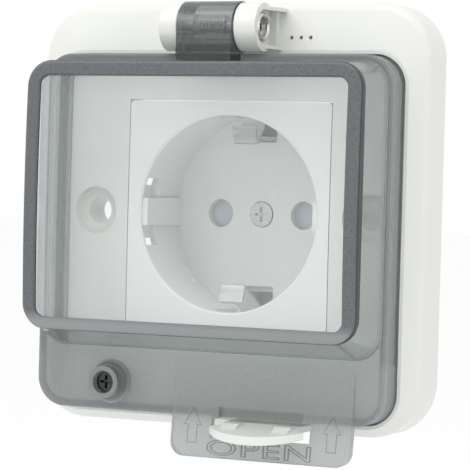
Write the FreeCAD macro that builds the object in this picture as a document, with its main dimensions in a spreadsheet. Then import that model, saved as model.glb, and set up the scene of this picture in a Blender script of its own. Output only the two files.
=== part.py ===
"""Weatherproof wall socket: a white back plate with an earthed socket under a sprung smoke lid.

Millimetres. X runs to the right, Z up, and Y into the wall, so the front faces -Y. The origin
lies in the wall's surface on the socket's axis. A size named "standoff" is a distance from the
wall's surface towards the room, so it is a negative Y. Sketches on the XZ plane look at the
front, and their normal points into the room.
"""

import FreeCAD, Part
import math
import os
import re

import Sketcher
from FreeCAD import Placement, Rotation, Vector

# Driving sizes: name, value in millimetres or degrees, what it is
SIZES = [
    ("insert_size", 45.0, "side of the square socket front, the standard insert"),
    ("hole_room", 7.65, "from the insert's side to the axis of a wall screw"),
    ("edge_room", 8.3, "from the axis of a wall screw to the side of the lid"),
    ("room_top", 9.6, "from the insert's top to the top of the lid"),
    ("room_bottom", 18.1, "from the insert's bottom to the bottom of the lid"),
    ("border_side", 4.55, "border of the back plate at the lid's sides"),
    ("border_top", 10.8, "border of the back plate above the lid"),
    ("border_bottom", 2.9, "border of the back plate below the lid"),
    ("border_rise", 2.5, "rise of the border from its outer edge to its crest"),
    ("edge_rise", 0.2, "plate's outer front edge forward of the floor"),
    ("base_corner", 11.0, "corner radius of the back plate"),
    ("crest_width", 0.7, "flat width of the crest"),
    ("base_floor", 8.9, "standoff of the floor under the lid"),
    ("base_wall", 2.0, "wall of the back plate"),
    ("base_round", 2.2, "rounding of the plate's outer front edge"),
    ("lid_rise", 8.85, "flange's face forward of the plate's floor"),
    ("edge_bevel", 0.4, "bevel of the flange's front edge"),
    ("lid_corner", 6.0, "corner radius of the flange"),
    ("lid_wall", 1.5, "wall of the lid"),
    ("lid_gap", 0.4, "gap between the skirt and the recess of the plate"),
    ("hood_side", 0.6, "ledge of the flange beside the hood"),
    ("hood_ledge_top", 1.2, "ledge of the flange above the hood"),
    ("hood_ledge_bottom", 12.4, "ledge of the flange below the hood"),
    ("hood_depth", 8.95, "height of the hood on the flange's face"),
    ("draft_side", 1.35, "lean of the hood's sides"),
    ("draft_top", 0.75, "lean of the hood's top"),
    ("draft_bottom", 3.95, "lean of the hood's bottom"),
    ("hood_corner", 5.4, "corner radius of the hood at the flange"),
    ("frame_depth", 2.5, "depth of the window frame at the top of its bow"),
    ("frame_side", 2.95, "width of the window frame at the sides"),
    ("frame_top", 3.1, "width of the window frame at the top"),
    ("frame_bottom", 2.55, "width of the window frame at the bottom"),
    ("frame_round", 0.7, "rounding of the frame's outer edge"),
    ("light_bevel", 0.35, "bevel of the frame's inner edge"),
    ("bezel_corner", 5.2, "corner radius of the window frame"),
    ("bezel_proud", 0.35, "step from the hood's wall out to the frame"),
    ("bow_radius", 480.0, "radius of the bow of frame and pane, seen from the side"),
    ("bow_reach", 40.0, "half height of the cut that makes the bow"),
    ("window_corner", 1.9, "corner radius of the clear window"),
    ("pane_recess", 0.6, "pane behind the frame's face"),
    ("pane_edge", 0.9, "thickness of the pane's rim behind the frame"),
    ("pane_lap", 1.9, "how far the pane's rim reaches behind the frame"),
    ("pane_gap", 0.1, "gap round the pane"),
    ("hinge_rise", 5.3, "hinge axis above the lid's top edge"),
    ("hinge_stand", 8.7, "hinge axis forward of the plate's floor"),
    ("lug_radius", 4.85, "radius of the plate's hinge lugs"),
    ("lug_gap", 0.3, "side gap between lug and barrel"),
    ("lug_left", 3.8, "width of the left lug"),
    ("lug_right", 4.6, "width of the right lug"),
    ("lug_web", 4.2, "half height of the web behind a lug"),
    ("barrel_radius", 5.2, "radius of the lid's barrel"),
    ("barrel_half", 6.05, "half width of the lid's barrel"),
    ("pin_radius", 1.5, "radius of the hinge pin"),
    ("pin_play", 0.08, "radial play of the hinge pin in the barrel"),
    ("pin_head", 2.9, "radius of the pin's head"),
    ("pin_head_tall", 1.6, "thickness of the pin's head"),
    ("pin_cup", 2.0, "radius of the cup in the pin's head"),
    ("pin_cup_deep", 1.1, "depth of the cup in the pin's head"),
    ("pin_bevel", 0.35, "bevel of the rims of the pin's head"),
    ("pin_bore", 1.0, "radius of the bore in the hollow end of the pin"),
    ("pin_bore_deep", 5.0, "depth of the bore in the hollow end of the pin"),
    ("gusset", 1.3, "reach of the right lug's roof and floor along the border"),
    ("pocket_radius", 3.5, "half height of the pocket round the pin's head"),
    ("coil_radius", 2.15, "mean radius of the lid spring"),
    ("coil_wire", 0.3, "wire radius of the lid spring"),
    ("coil_pitch", 0.75, "pitch of the lid spring"),
    ("coil_turns", 8.5, "turns of the lid spring"),
    ("coil_start", -2.6, "left end of the lid spring"),
    ("chamber_radius", 2.75, "radius of the spring's chamber in the barrel"),
    ("tab_inset", 25.35, "middle of the opening tab from the lid's right side"),
    ("tab_reach", 11.2, "top of the tab above the lid's bottom edge"),
    ("tab_drop", 8.0, "bottom of the tab below the lid's bottom edge"),
    ("tab_width", 38.8, "width of the opening tab"),
    ("tab_flare", 2.5, "how far the tab's lower edge stands forward of the flange"),
    ("tab_thick", 1.9, "thickness of the tab below the flange"),
    ("tab_corner", 3.0, "corner radius of the tab"),
    ("slot_width", 18.4, "width of the slot's narrow upper part"),
    ("slot_rise", 2.2, "top of the slot above the lid's bottom edge"),
    ("slot_drop", 4.0, "bottom of the slot below the lid's bottom edge"),
    ("slot_wide", 21.6, "width of the slot's lower part, which passes the tongue's head"),
    ("slot_neck", 2.2, "height of the slot's narrow upper part"),
    ("bay_half", 16.6, "half width of the bay behind the tab"),
    ("bay_depth", 4.0, "depth of the skirt in the bay"),
    ("boss_side", 17.35, "lock boss from the lid's left side"),
    ("boss_rise", 5.8, "lock boss above the lid's bottom edge"),
    ("boss_foot", 4.65, "radius of the boss's cone at the flange"),
    ("boss_tube", 3.3, "radius of the boss's tube"),
    ("boss_cone", 1.9, "height of the boss's cone"),
    ("boss_tall", 3.9, "height of the boss"),
    ("boss_bore", 2.35, "radius of the boss's bore"),
    ("boss_seat", 1.0, "standoff of the screw seat from the flange's face"),
    ("lock_shank", 1.5, "radius of the lock screw's shank"),
    ("lock_head", 2.15, "radius of the lock screw's head"),
    ("lock_head_tall", 1.4, "height of the lock screw's head"),
    ("lock_play", 0.15, "radial play of the lock screw in the lid"),
    ("lock_clear", 0.6, "gap from the lock screw's tip to its pillar"),
    ("pillar_radius", 3.2, "radius of the plate's lock pillar"),
    ("pillar_rise", 2.7, "height of the lock pillar on the floor"),
    ("latch_half", 8.4, "half width of the latch lever"),
    ("latch_gap", 0.35, "side gap of the latch lever in the plate"),
    ("latch_thick", 1.2, "thickness of the latch lever"),
    ("latch_clear", 0.35, "gap between the lever and the border above it"),
    ("latch_lip", 0.55, "how much thicker the tongue is at its tip"),
    ("root_back", 0.35, "start of the tongue's slope behind the flange's face"),
    ("tongue_flank", 3.45, "tongue's side corners forward of the flange's face"),
    ("tongue_proud", 8.65, "tongue's tip forward of the flange's face"),
    ("latch_slope", 11.5, "slope of the latch tongue in degrees"),
    ("tongue_half", 10.2, "half width of the latch tongue"),
    ("pivot_rise", 3.05, "latch pivot above the lever's upper face"),
    ("pivot_eye", 2.0, "radius of the lever's eyes"),
    ("pivot_clear", 0.2, "gap between the lever's eyes and the floor's back"),
    ("pivot_radius", 1.0, "radius of the latch pin"),
    ("pivot_play", 0.06, "radial play of the latch lever on its pin"),
    ("eye_width", 1.8, "width of each eye of the lever"),
    ("rib_width", 1.6, "width of the plate's ribs that hold the latch pin"),
    ("insert_gap", 0.2, "gap round the socket front"),
    ("insert_plate", 1.8, "thickness of the socket front"),
    ("well_margin", 2.75, "from the well's edge to the insert's side"),
    ("well_depth", 17.5, "depth of the socket well"),
    ("well_wall", 1.3, "wall of the socket well"),
    ("well_floor", 2.0, "thickness of the well's floor"),
    ("guide_height", 5.5, "height of the well's side guides"),
    ("guide_start", 1.0, "front of a side guide behind the socket front"),
    ("relief_tall", 5.2, "height of the relief beside a side guide"),
    ("relief_deep", 5.0, "depth of the relief beside a side guide"),
    ("relief_cut", 0.6, "cut of the relief into the well's wall"),
    ("well_bevel", 0.4, "bevel of the well's lip"),
    ("guide_depth", 1.2, "how far the side guides stand into the well"),
    ("pin_pitch", 19.0, "distance between the two contact holes"),
    ("contact_hole", 2.85, "radius of a contact hole"),
    ("floor_slot", 6.0, "width of the slots in the well's floor below the clips"),
    ("floor_slot_tall", 4.8, "height of the slots in the well's floor"),
    ("floor_slot_rim", 0.4, "well's floor left outside a slot"),
    ("slot_room", 6.0, "depth of the room in the block behind a floor slot"),
    ("clip_window", 9.2, "width of the windows for the earth clips"),
    ("window_front", 4.6, "standoff of the front edge of a clip's window"),
    ("clip_stand", 5.35, "how far an earth clip stands into the well"),
    ("clip_front", 0.3, "standoff of the upper clip's bend"),
    ("clip_front_low", 4.6, "standoff of the lower clip's bend"),
    ("clip_lip", 3.3, "height of a clip's free end"),
    ("clip_bend", 1.1, "how far a clip's free end stands in front of its bend"),
    ("window_back", 2.0, "wall between a clip's window and the well's floor"),
    ("clip_width", 5.2, "width of the earth strap"),
    ("clip_thick", 0.7, "thickness of the earth strap"),
    ("block_side", 2.7, "contact block's side inside the insert's side"),
    ("block_edge", 1.3, "contact block's top and bottom inside the insert's"),
    ("block_depth", 20.4, "depth of the contact block"),
    ("block_corner", 3.0, "corner radius of the contact block"),
    ("disc_rim", 2.05, "rim of the shutter disc outside its holes"),
    ("disc_thick", 2.0, "thickness of the shutter disc"),
    ("disc_turn", 38.0, "turn of the shutter disc in degrees"),
    ("disc_play", 0.3, "gap round the shutter disc"),
    ("post_radius", 2.7, "radius of the block's centre post"),
    ("spring_room", 1.6, "depth of the shutter spring's space"),
    ("sleeve_bore", 2.45, "radius of the contact sleeve's bore"),
    ("sleeve_wall", 0.7, "wall of the contact sleeve"),
    ("sleeve_step", 1.2, "wall between the spring's space and the contact sleeves"),
    ("sleeve_length", 10.0, "length of the contact sleeve"),
    ("sleeve_slit", 1.2, "width of the slit in a contact sleeve"),
    ("terminal_sink", 3.6, "terminal plate behind the block's side"),
    ("clamp_gap", 0.05, "gap between a clamp plate and its terminal"),
    ("strap_gap", 0.3, "gap between the earth strap and the contact block"),
    ("screw_slot", 0.8, "width of a terminal screw's slot"),
    ("terminal_side", 7.6, "side of a terminal plate"),
    ("terminal_thick", 1.0, "thickness of terminal and clamp plates"),
    ("wire_gap", 1.4, "open gap of a terminal"),
    ("screw_radius", 1.6, "radius of a terminal screw"),
    ("screw_head", 2.9, "radius of a terminal screw's head"),
    ("screw_head_tall", 1.7, "height of a terminal screw's head"),
    ("centre_head", 2.5, "radius of the centre screw's head"),
    ("centre_head_tall", 1.2, "height of the centre screw's head"),
    ("centre_shank", 1.3, "radius of the centre screw's shank"),
    ("centre_length", 13.0, "length of the centre screw's shank"),
    ("mount_hole", 2.65, "radius of a wall screw hole"),
    ("mount_sink", 4.8, "radius of a wall screw's counterbore"),
    ("mount_sink_deep", 2.0, "depth of a wall screw's counterbore"),
    ("seal_width", 2.4, "width of the lid seal"),
    ("seal_sunk", 1.0, "depth of the lid seal's groove"),
    ("seal_proud", 0.5, "lid seal above the floor"),
    ("seal_gap", 0.3, "gap between the lid seal and the skirt"),
    ("gasket_gap", 0.05, "gap between the rear gasket and the plate's wall"),
    ("gasket_width", 2.2, "width of the rear gasket"),
    ("gasket_thick", 2.4, "thickness of the rear gasket"),
    ("dot_radius", 0.4, "radius of the three dimples"),
    ("dot_pitch", 2.08, "distance between the dimples"),
    ("dot_first", 3.0, "first dimple right of the right lug"),
    ("dot_rise", 3.65, "dimples above the lid's top edge"),
]

# Sizes worked out from the driving ones: name, formula
DERIVED = [
    ("mount_pitch", "insert_size + 2 * hole_room"),
    ("lid_width", "mount_pitch + 2 * edge_room"),
    ("lid_top", "insert_size / 2 + room_top"),
    ("lid_bottom", "insert_size / 2 + room_bottom"),
    ("base_width", "lid_width + 2 * border_side"),
    ("base_top", "lid_top + border_top"),
    ("base_bottom", "lid_bottom + border_bottom"),
    ("base_edge", "base_floor + edge_rise"),
    ("base_crest", "base_edge + border_rise"),
    ("floor_back", "base_floor - base_wall"),
    ("lid_front", "base_floor + lid_rise"),
    ("skirt_end", "base_floor + seal_proud + seal_gap"),
    ("hood_width", "lid_width - 2 * hood_side"),
    ("hood_top", "lid_top - hood_ledge_top"),
    ("hood_bottom", "lid_bottom - hood_ledge_bottom"),
    ("hood_front", "lid_front + hood_depth"),
    ("bezel_width", "hood_width - 2 * draft_side"),
    ("bezel_top", "hood_top - draft_top"),
    ("bezel_bottom", "hood_bottom - draft_bottom"),
    ("bezel_crown", "hood_front + frame_depth"),
    ("bow_axis", "bezel_crown - bow_radius"),
    ("bow_height", "(bezel_top - bezel_bottom) / 2"),
    ("window_width", "bezel_width - 2 * frame_side"),
    ("window_top", "bezel_top - frame_top"),
    ("window_bottom", "bezel_bottom - frame_bottom"),
    ("hinge_up", "lid_top + hinge_rise"),
    ("hinge_out", "base_floor + hinge_stand"),
    ("lug_inner", "barrel_half + lug_gap"),
    ("lug_end", "lug_inner + lug_right"),
    ("tab_centre", "lid_width / 2 - tab_inset"),
    ("tab_top", "lid_bottom - tab_reach"),
    ("tab_bottom", "lid_bottom + tab_drop"),
    ("slot_top", "lid_bottom - slot_rise"),
    ("slot_bottom", "lid_bottom + slot_drop"),
    ("boss_across", "lid_width / 2 - boss_side"),
    ("boss_down", "lid_bottom - boss_rise"),
    ("pillar_top", "base_floor + pillar_rise"),
    ("recess_bottom", "lid_bottom + lid_gap"),
    ("latch_top", "recess_bottom + latch_clear"),
    ("latch_root", "lid_front - root_back"),
    ("tongue_side", "lid_front + tongue_flank"),
    ("tongue_tip", "lid_front + tongue_proud"),
    ("pivot_out", "floor_back - pivot_eye - pivot_clear"),
    ("pivot_down", "latch_top - pivot_rise"),
    ("well_radius", "insert_size / 2 - well_margin"),
    ("well_back", "base_floor - well_depth - well_floor"),
    ("clip_reach", "well_radius - clip_stand"),
    ("block_width", "insert_size - 2 * block_side"),
    ("block_height", "insert_size - 2 * block_edge"),
    ("block_back", "well_back - block_depth"),
    ("terminal_across", "block_width / 2 - terminal_sink"),
    ("disc_radius", "pin_pitch / 2 + contact_hole + disc_rim"),
    ("sleeve_front", "well_back - disc_thick - spring_room - sleeve_step"),
    ("window_end", "base_floor - well_depth + window_back"),
]

doc = FreeCAD.newDocument("wall_socket")
sheet = doc.addObject("Spreadsheet::Sheet", "sizes")
for row, (alias, amount, meaning) in enumerate(SIZES, start=1):
    sheet.set(f"A{row}", alias)
    sheet.set(f"B{row}", str(amount))
    sheet.set(f"C{row}", meaning)
    sheet.setAlias(f"B{row}", alias)
for row, (alias, text) in enumerate(DERIVED, start=len(SIZES) + 1):
    sheet.set(f"A{row}", alias)
    sheet.set(f"B{row}", "=" + text)
    sheet.setAlias(f"B{row}", alias)
doc.recompute()

ALIASES = {line[0] for line in SIZES + DERIVED}


def formula(text):
    """Return the text as an expression: each named size is looked up in the sheet."""
    return re.sub(r"[a-z][a-z_]+", lambda word: "sizes." + word[0] if word[0] in ALIASES else word[0], text)


def number(text):
    """Return what a formula comes to now, in millimetres."""
    result = sheet.evalExpression(formula(text).replace("sizes.", ""))
    return float(getattr(result, "Value", result))


def bind(item, **properties):
    """Tie properties of an object to formulas."""
    for name, text in properties.items():
        item.setExpression(name, formula(text))


def new_body(label):
    """Start a sub-part."""
    body = doc.addObject("PartDesign::Body", label)
    body.Label = label
    return body


def new_sketch(body, name, plane="XZ_Plane", offset="0"):
    """Lay an empty sketch on a plane of the body, moved along the plane's normal."""
    sketch = body.newObject("Sketcher::SketchObject", name)
    support = [item for item in body.Origin.OriginFeatures if item.Role == plane][0]
    sketch.AttachmentSupport = [(support, "")]
    sketch.MapMode = "FlatFace"
    sketch.setExpression("AttachmentOffset.Base.z", formula(offset))
    return sketch


def hold(sketch, kind, places, text):
    """Add a dimension to a sketch and tie it to a formula."""
    index = sketch.addConstraint(Sketcher.Constraint(kind, *places, number(text)))
    sketch.setExpression(f"Constraints[{index}]", formula(text))


def hold_point(sketch, edge, end, across, up):
    """Place the end of an edge by its two coordinates."""
    if number(across) == 0:
        sketch.addConstraint(Sketcher.Constraint("PointOnObject", edge, end, -2))
    else:
        hold(sketch, "DistanceX", (-1, 1, edge, end), across)
    if number(up) == 0:
        sketch.addConstraint(Sketcher.Constraint("PointOnObject", edge, end, -1))
    else:
        hold(sketch, "DistanceY", (-1, 1, edge, end), up)


def draw_polygon(sketch, corners):
    """Draw a closed outline of straight lines through the corners."""
    spots = [Vector(number(across), number(up), 0) for across, up in corners]
    first = sketch.GeometryCount
    for index, spot in enumerate(spots):
        sketch.addGeometry(Part.LineSegment(spot, spots[(index + 1) % len(spots)]), False)
    for index, (across, up) in enumerate(corners):
        following = first + (index + 1) % len(corners)
        sketch.addConstraint(Sketcher.Constraint("Coincident", first + index, 2, following, 1))
        hold_point(sketch, first + index, 1, across, up)


def draw_rectangle(sketch, left, right, low, high):
    """Draw a rectangle between four formulas."""
    draw_polygon(sketch, [(left, low), (right, low), (right, high), (left, high)])


def draw_round_rectangle(sketch, left, right, low, high, corner):
    """Draw a rectangle with rounded corners between four formulas."""
    west, east, south, north, radius = (number(text) for text in (left, right, low, high, corner))
    first = sketch.GeometryCount
    centres = [(east - radius, south + radius), (east - radius, north - radius),
               (west + radius, north - radius), (west + radius, south + radius)]
    for index, (across, up) in enumerate(centres):
        turn = math.radians(90 * index - 90)
        circle = Part.Circle(Vector(across, up, 0), Vector(0, 0, 1), radius)
        sketch.addGeometry(Part.ArcOfCircle(circle, turn, turn + math.pi / 2), False)
    for index in range(4):
        start = sketch.Geometry[first + index].EndPoint
        end = sketch.Geometry[first + (index + 1) % 4].StartPoint
        sketch.addGeometry(Part.LineSegment(start, end), False)
    for index in range(4):
        line = first + 4 + index
        sketch.addConstraint(Sketcher.Constraint("Tangent", first + index, 2, line, 1))
        sketch.addConstraint(Sketcher.Constraint("Tangent", line, 2, first + (index + 1) % 4, 1))
        sketch.addConstraint(Sketcher.Constraint("Horizontal" if index % 2 else "Vertical", line))
    for index in range(1, 4):
        sketch.addConstraint(Sketcher.Constraint("Equal", first, first + index))
    hold(sketch, "Radius", (first,), corner)
    hold(sketch, "DistanceX", (-1, 1, first + 4, 1), right)
    hold(sketch, "DistanceY", (-1, 1, first + 5, 1), high)
    hold(sketch, "DistanceX", (-1, 1, first + 6, 1), left)
    hold(sketch, "DistanceY", (-1, 1, first + 7, 1), low)


def draw_circle(sketch, across, up, radius):
    """Draw a circle about a place given by formulas."""
    edge = sketch.GeometryCount
    spot = Vector(number(across), number(up), 0)
    sketch.addGeometry(Part.Circle(spot, Vector(0, 0, 1), number(radius)), False)
    hold_point(sketch, edge, 3, across, up)
    hold(sketch, "Radius", (edge,), radius)


def pad(body, name, sketch, length, back=False, both=False):
    """Raise a sketch along its normal, or the other way, or half each way."""
    feature = body.newObject("PartDesign::Pad", name)
    feature.Profile = sketch
    bind(feature, Length=length)
    feature.Reversed = back
    feature.Midplane = both
    sketch.Visibility = False
    doc.recompute()
    return feature


def pocket(body, name, sketch, length, back=False, both=False):
    """Cut a sketch against its normal, or along it, or half each way."""
    before = body.Shape.Volume
    feature = body.newObject("PartDesign::Pocket", name)
    feature.Profile = sketch
    bind(feature, Length=length)
    feature.Reversed = back
    feature.Midplane = both
    sketch.Visibility = False
    doc.recompute()
    if not body.Shape.Volume < before:
        raise ValueError(f"{name} cuts nothing")
    return feature


def loft(body, kind, name, sketches):
    """Join sketches by a straight loft that adds to the body or cuts it."""
    feature = body.newObject(f"PartDesign::{kind}Loft", name)
    feature.Profile = sketches[0]
    feature.Sections = sketches[1:]
    feature.Ruled = True
    doc.recompute()
    return feature


def round_edges(body, name, radius, wanted):
    """Round the edges of the body for which wanted(edge) is true."""
    base = body.Tip
    names = [f"Edge{index}" for index, edge in enumerate(base.Shape.Edges, start=1) if wanted(edge)]
    feature = body.newObject("PartDesign::Fillet", name)
    feature.Base = (base, names)
    bind(feature, Radius=radius)
    doc.recompute()
    return feature


def bevel_edges(body, name, size, wanted):
    """Bevel the edges of the body for which wanted(edge) is true."""
    base = body.Tip
    names = [f"Edge{index}" for index, edge in enumerate(base.Shape.Edges, start=1) if wanted(edge)]
    feature = body.newObject("PartDesign::Chamfer", name)
    feature.Base = (base, names)
    bind(feature, Size=size)
    doc.recompute()
    return feature


def lies_at(edge, standoff, slack=0.02):
    """Tell whether an edge lies wholly at one standoff."""
    box = edge.BoundBox
    return abs(box.YMin + standoff) < slack and abs(box.YMax + standoff) < slack


def lid_outline(sketch, inset):
    """Draw the lid flange's outline, moved in by a formula."""
    draw_round_rectangle(sketch, f"-(lid_width / 2 - {inset})", f"lid_width / 2 - {inset}",
                         f"-(lid_bottom - {inset})", f"lid_top - {inset}", f"lid_corner - {inset}")


def base_outline(sketch, inset, corner=None):
    """Draw the back plate's outline, moved in by a formula."""
    draw_round_rectangle(sketch, f"-(base_width / 2 - {inset})", f"base_width / 2 - {inset}",
                         f"-(base_bottom - {inset})", f"base_top - {inset}",
                         corner or f"base_corner - {inset}")


def make_base():
    """Back plate: pillowed border, recess for the lid, hinge lugs, latch seat, screw tubes."""
    body = new_body("base_frame")

    outline = new_sketch(body, "BaseOutline")
    base_outline(outline, "0")
    pad(body, "BaseBlock", outline, "base_edge")

    border_low = new_sketch(body, "BorderLow", offset="base_edge")
    base_outline(border_low, "0")
    border_high = new_sketch(body, "BorderHigh", offset="base_crest")
    lid_outline(border_high, "(-lid_gap - crest_width)")
    loft(body, "Additive", "Border", [border_low, border_high])
    round_edges(body, "BorderRound", "base_round", lambda edge: lies_at(edge, number("base_edge")))

    recess = new_sketch(body, "Recess", offset="base_floor")
    lid_outline(recess, "(-lid_gap)")
    pocket(body, "RecessCut", recess, "base_crest - base_floor + 1", back=True)

    hollow = new_sketch(body, "Hollow")
    base_outline(hollow, "base_wall")
    pocket(body, "HollowCut", hollow, "floor_back", back=True)

    collar = new_sketch(body, "Collar", offset="floor_back")
    half = "(insert_size / 2 + insert_gap + base_wall)"
    draw_round_rectangle(collar, f"-{half}", half, f"-{half}", half, "2")
    pad(body, "CollarPad", collar, "floor_back - 3.4", back=True)
    opening = new_sketch(body, "Opening")
    half = "(insert_size / 2 + insert_gap)"
    draw_rectangle(opening, f"-{half}", half, f"-{half}", half)
    pocket(body, "OpeningCut", opening, "base_floor + 1", back=True)

    tubes = new_sketch(body, "ScrewTubes", offset="floor_back")
    for side in ("-", ""):
        draw_circle(tubes, f"{side}mount_pitch / 2", "0", "mount_sink + 1.4")
    pad(body, "ScrewTubesPad", tubes, "floor_back", back=True)
    for name, radius, depth in (("ScrewHoles", "mount_hole", "base_floor + 1"),
                                ("ScrewSinks", "mount_sink", "mount_sink_deep")):
        holes = new_sketch(body, name, offset="base_floor")
        for side in ("-", ""):
            draw_circle(holes, f"{side}mount_pitch / 2", "0", radius)
        pocket(body, name + "Cut", holes, depth)

    groove = new_sketch(body, "SealGroove", offset="base_floor")
    lid_outline(groove, "(-lid_gap / 2)")
    lid_outline(groove, "(seal_width - lid_gap / 2)")
    pocket(body, "SealGrooveCut", groove, "seal_sunk")

    pillar = new_sketch(body, "LockPillar", offset="floor_back")
    draw_circle(pillar, "-boss_across", "-boss_down", "pillar_radius")
    pad(body, "LockPillarPad", pillar, "pillar_top - floor_back")
    pilot = new_sketch(body, "LockPilot", offset="pillar_top")
    draw_circle(pilot, "-boss_across", "-boss_down", "lock_shank - 0.2")
    pocket(body, "LockPilotCut", pilot, "pillar_top - floor_back - 0.8")

    make_lugs(body)
    make_latch_seat(body)

    dots = new_sketch(body, "Dimples", offset="base_crest")
    for index in range(3):
        draw_circle(dots, f"lug_end + dot_first + {index} * dot_pitch", "lid_top + dot_rise", "dot_radius")
    pocket(body, "DimplesCut", dots, "base_crest - base_edge - 0.5")
    return body


def make_lugs(body):
    """Add the two hinge lugs, their bore and the pocket for the pin's head."""
    lug_ends = [("Left", "-(lug_inner + lug_left)", "lug_left"), ("Right", "lug_inner", "lug_right")]
    for side, start, width in lug_ends:
        knuckle = new_sketch(body, side + "Knuckle", "YZ_Plane", start)
        draw_circle(knuckle, "-hinge_out", "hinge_up", "lug_radius")
        pad(body, side + "KnucklePad", knuckle, width)
        web = new_sketch(body, side + "Web", "YZ_Plane", start)
        draw_rectangle(web, "-hinge_out", "-base_edge + 1.2", "hinge_up - lug_web", "hinge_up + lug_web")
        pad(body, side + "WebPad", web, width)
    bore = new_sketch(body, "HingeBore", "YZ_Plane", "-(lug_inner + lug_left - 1.0)")
    draw_circle(bore, "-hinge_out", "hinge_up", "pin_radius")
    pocket(body, "HingeBoreCut", bore, "2 * lug_inner + lug_left + lug_right", back=True)
    room = new_sketch(body, "HeadPocket", "YZ_Plane", "lug_inner + lug_right - pin_head_tall")
    draw_circle(room, "-hinge_out", "hinge_up", "pocket_radius")
    pocket(body, "HeadPocketCut", room, "pin_head_tall + 1", back=True)
    channel = new_sketch(body, "HeadChannel", "YZ_Plane", "lug_inner + lug_right - pin_head_tall")
    draw_rectangle(channel, "-hinge_out", "-base_crest", "hinge_up - pocket_radius",
                   "hinge_up + pocket_radius")
    pocket(body, "HeadChannelCut", channel, "pin_head_tall + 1", back=True)
    for name, low in (("Roof", "hinge_up + pocket_radius"), ("Floor", "hinge_up - lug_web")):
        gusset = new_sketch(body, name + "Gusset", "XY_Plane", low)
        draw_polygon(gusset, [("lug_end", "-hinge_out"), ("lug_end", "-base_edge"),
                              ("lug_end + gusset", "-base_edge"), ("lug_end + gusset", "-base_crest")])
        pad(body, name + "GussetPad", gusset, "lug_web - pocket_radius")


def make_latch_seat(body):
    """Cut the notch for the latch lever in the lower border and add the ribs of its pin."""
    gap_half = "(latch_half + latch_gap)"
    notch = new_sketch(body, "LatchNotch", "YZ_Plane", "tab_centre")
    draw_rectangle(notch, "-base_crest - 1", "-gasket_thick - 0.2", "-(base_bottom + 1)",
                   "-recess_bottom")
    pocket(body, "LatchNotchCut", notch, f"2 * {gap_half}", both=True)
    for side, centre in (("Left", f"tab_centre - {gap_half} - rib_width / 2"),
                         ("Right", f"tab_centre + {gap_half} + rib_width / 2")):
        rib = new_sketch(body, side + "Rib", "YZ_Plane", centre)
        draw_rectangle(rib, "-floor_back - 0.3", "-gasket_thick - 0.2", "-recess_bottom - 0.5",
                       "-(pivot_down - pivot_eye - 0.6)")
        pad(body, side + "RibPad", rib, "rib_width", both=True)
    bore = new_sketch(body, "PivotBore", "YZ_Plane", "tab_centre")
    draw_circle(bore, "-pivot_out", "-pivot_down", "pivot_radius")
    pocket(body, "PivotBoreCut", bore, f"2 * {gap_half} + 2 * rib_width + 0.2", both=True)


def make_seals():
    """Lid seal in its groove, and the rear gasket inside the plate's edge."""
    seal = new_body("lid_seal")
    ring = new_sketch(seal, "SealRing", offset="base_floor + seal_proud")
    lid_outline(ring, "(-lid_gap / 2 + 0.05)")
    lid_outline(ring, "(seal_width - lid_gap / 2 - 0.05)")
    pad(seal, "SealPad", ring, "seal_proud + seal_sunk", back=True)

    gasket = new_body("rear_gasket")
    ring = new_sketch(gasket, "GasketRing")
    base_outline(ring, "(base_wall + gasket_gap)")
    base_outline(ring, "(base_wall + gasket_gap + gasket_width)")
    pad(gasket, "GasketPad", ring, "gasket_thick")
    return [seal, gasket]


def make_lid():
    """Smoke lid: flange with skirt, drafted hood, barrel, opening tab and lock boss."""
    body = new_body("lid_shell")
    outline = new_sketch(body, "FlangeOutline", offset="skirt_end")
    lid_outline(outline, "0")
    pad(body, "FlangeBlock", outline, "lid_front - skirt_end")
    bevel_edges(body, "FlangeBevel", "edge_bevel", lambda edge: lies_at(edge, number("lid_front")))

    foot = new_sketch(body, "HoodFoot", offset="lid_front - lid_wall / 2")
    draw_hood(foot, False, "0")
    crown = new_sketch(body, "HoodFront", offset="hood_front")
    draw_hood(crown, True, "0")
    loft(body, "Additive", "Hood", [foot, crown])

    inside = new_sketch(body, "SkirtInside", offset="skirt_end")
    lid_outline(inside, "lid_wall")
    pocket(body, "SkirtInsideCut", inside, "lid_front - lid_wall - skirt_end", back=True)
    mouth = new_sketch(body, "HoodMouth", offset="lid_front - lid_wall - 0.5")
    draw_hood(mouth, False, "lid_wall")
    pocket(body, "HoodMouthCut", mouth, "lid_wall / 2 + 0.5", back=True)
    cut_low = new_sketch(body, "HoodInsideLow", offset="lid_front - lid_wall / 2")
    draw_hood(cut_low, False, "lid_wall")
    cut_high = new_sketch(body, "HoodInsideHigh", offset="hood_front")
    draw_hood(cut_high, True, "lid_wall")
    loft(body, "Subtractive", "HoodInside", [cut_low, cut_high])

    make_barrel(body)
    make_tab(body)
    make_boss(body)
    return body


def draw_hood(sketch, front, inset):
    """Draw the hood's section at its foot or at its front edge, moved in by a formula."""
    if front:
        step = f"(bezel_proud + {inset})"
        draw_round_rectangle(sketch, f"-(bezel_width / 2 - {step})", f"bezel_width / 2 - {step}",
                             f"-(bezel_bottom - {step})", f"bezel_top - {step}",
                             f"bezel_corner - {step}")
    else:
        draw_round_rectangle(sketch, f"-(hood_width / 2 - {inset})", f"hood_width / 2 - {inset}",
                             f"-(hood_bottom - {inset})", f"hood_top - {inset}",
                             f"hood_corner - {inset}")


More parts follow.
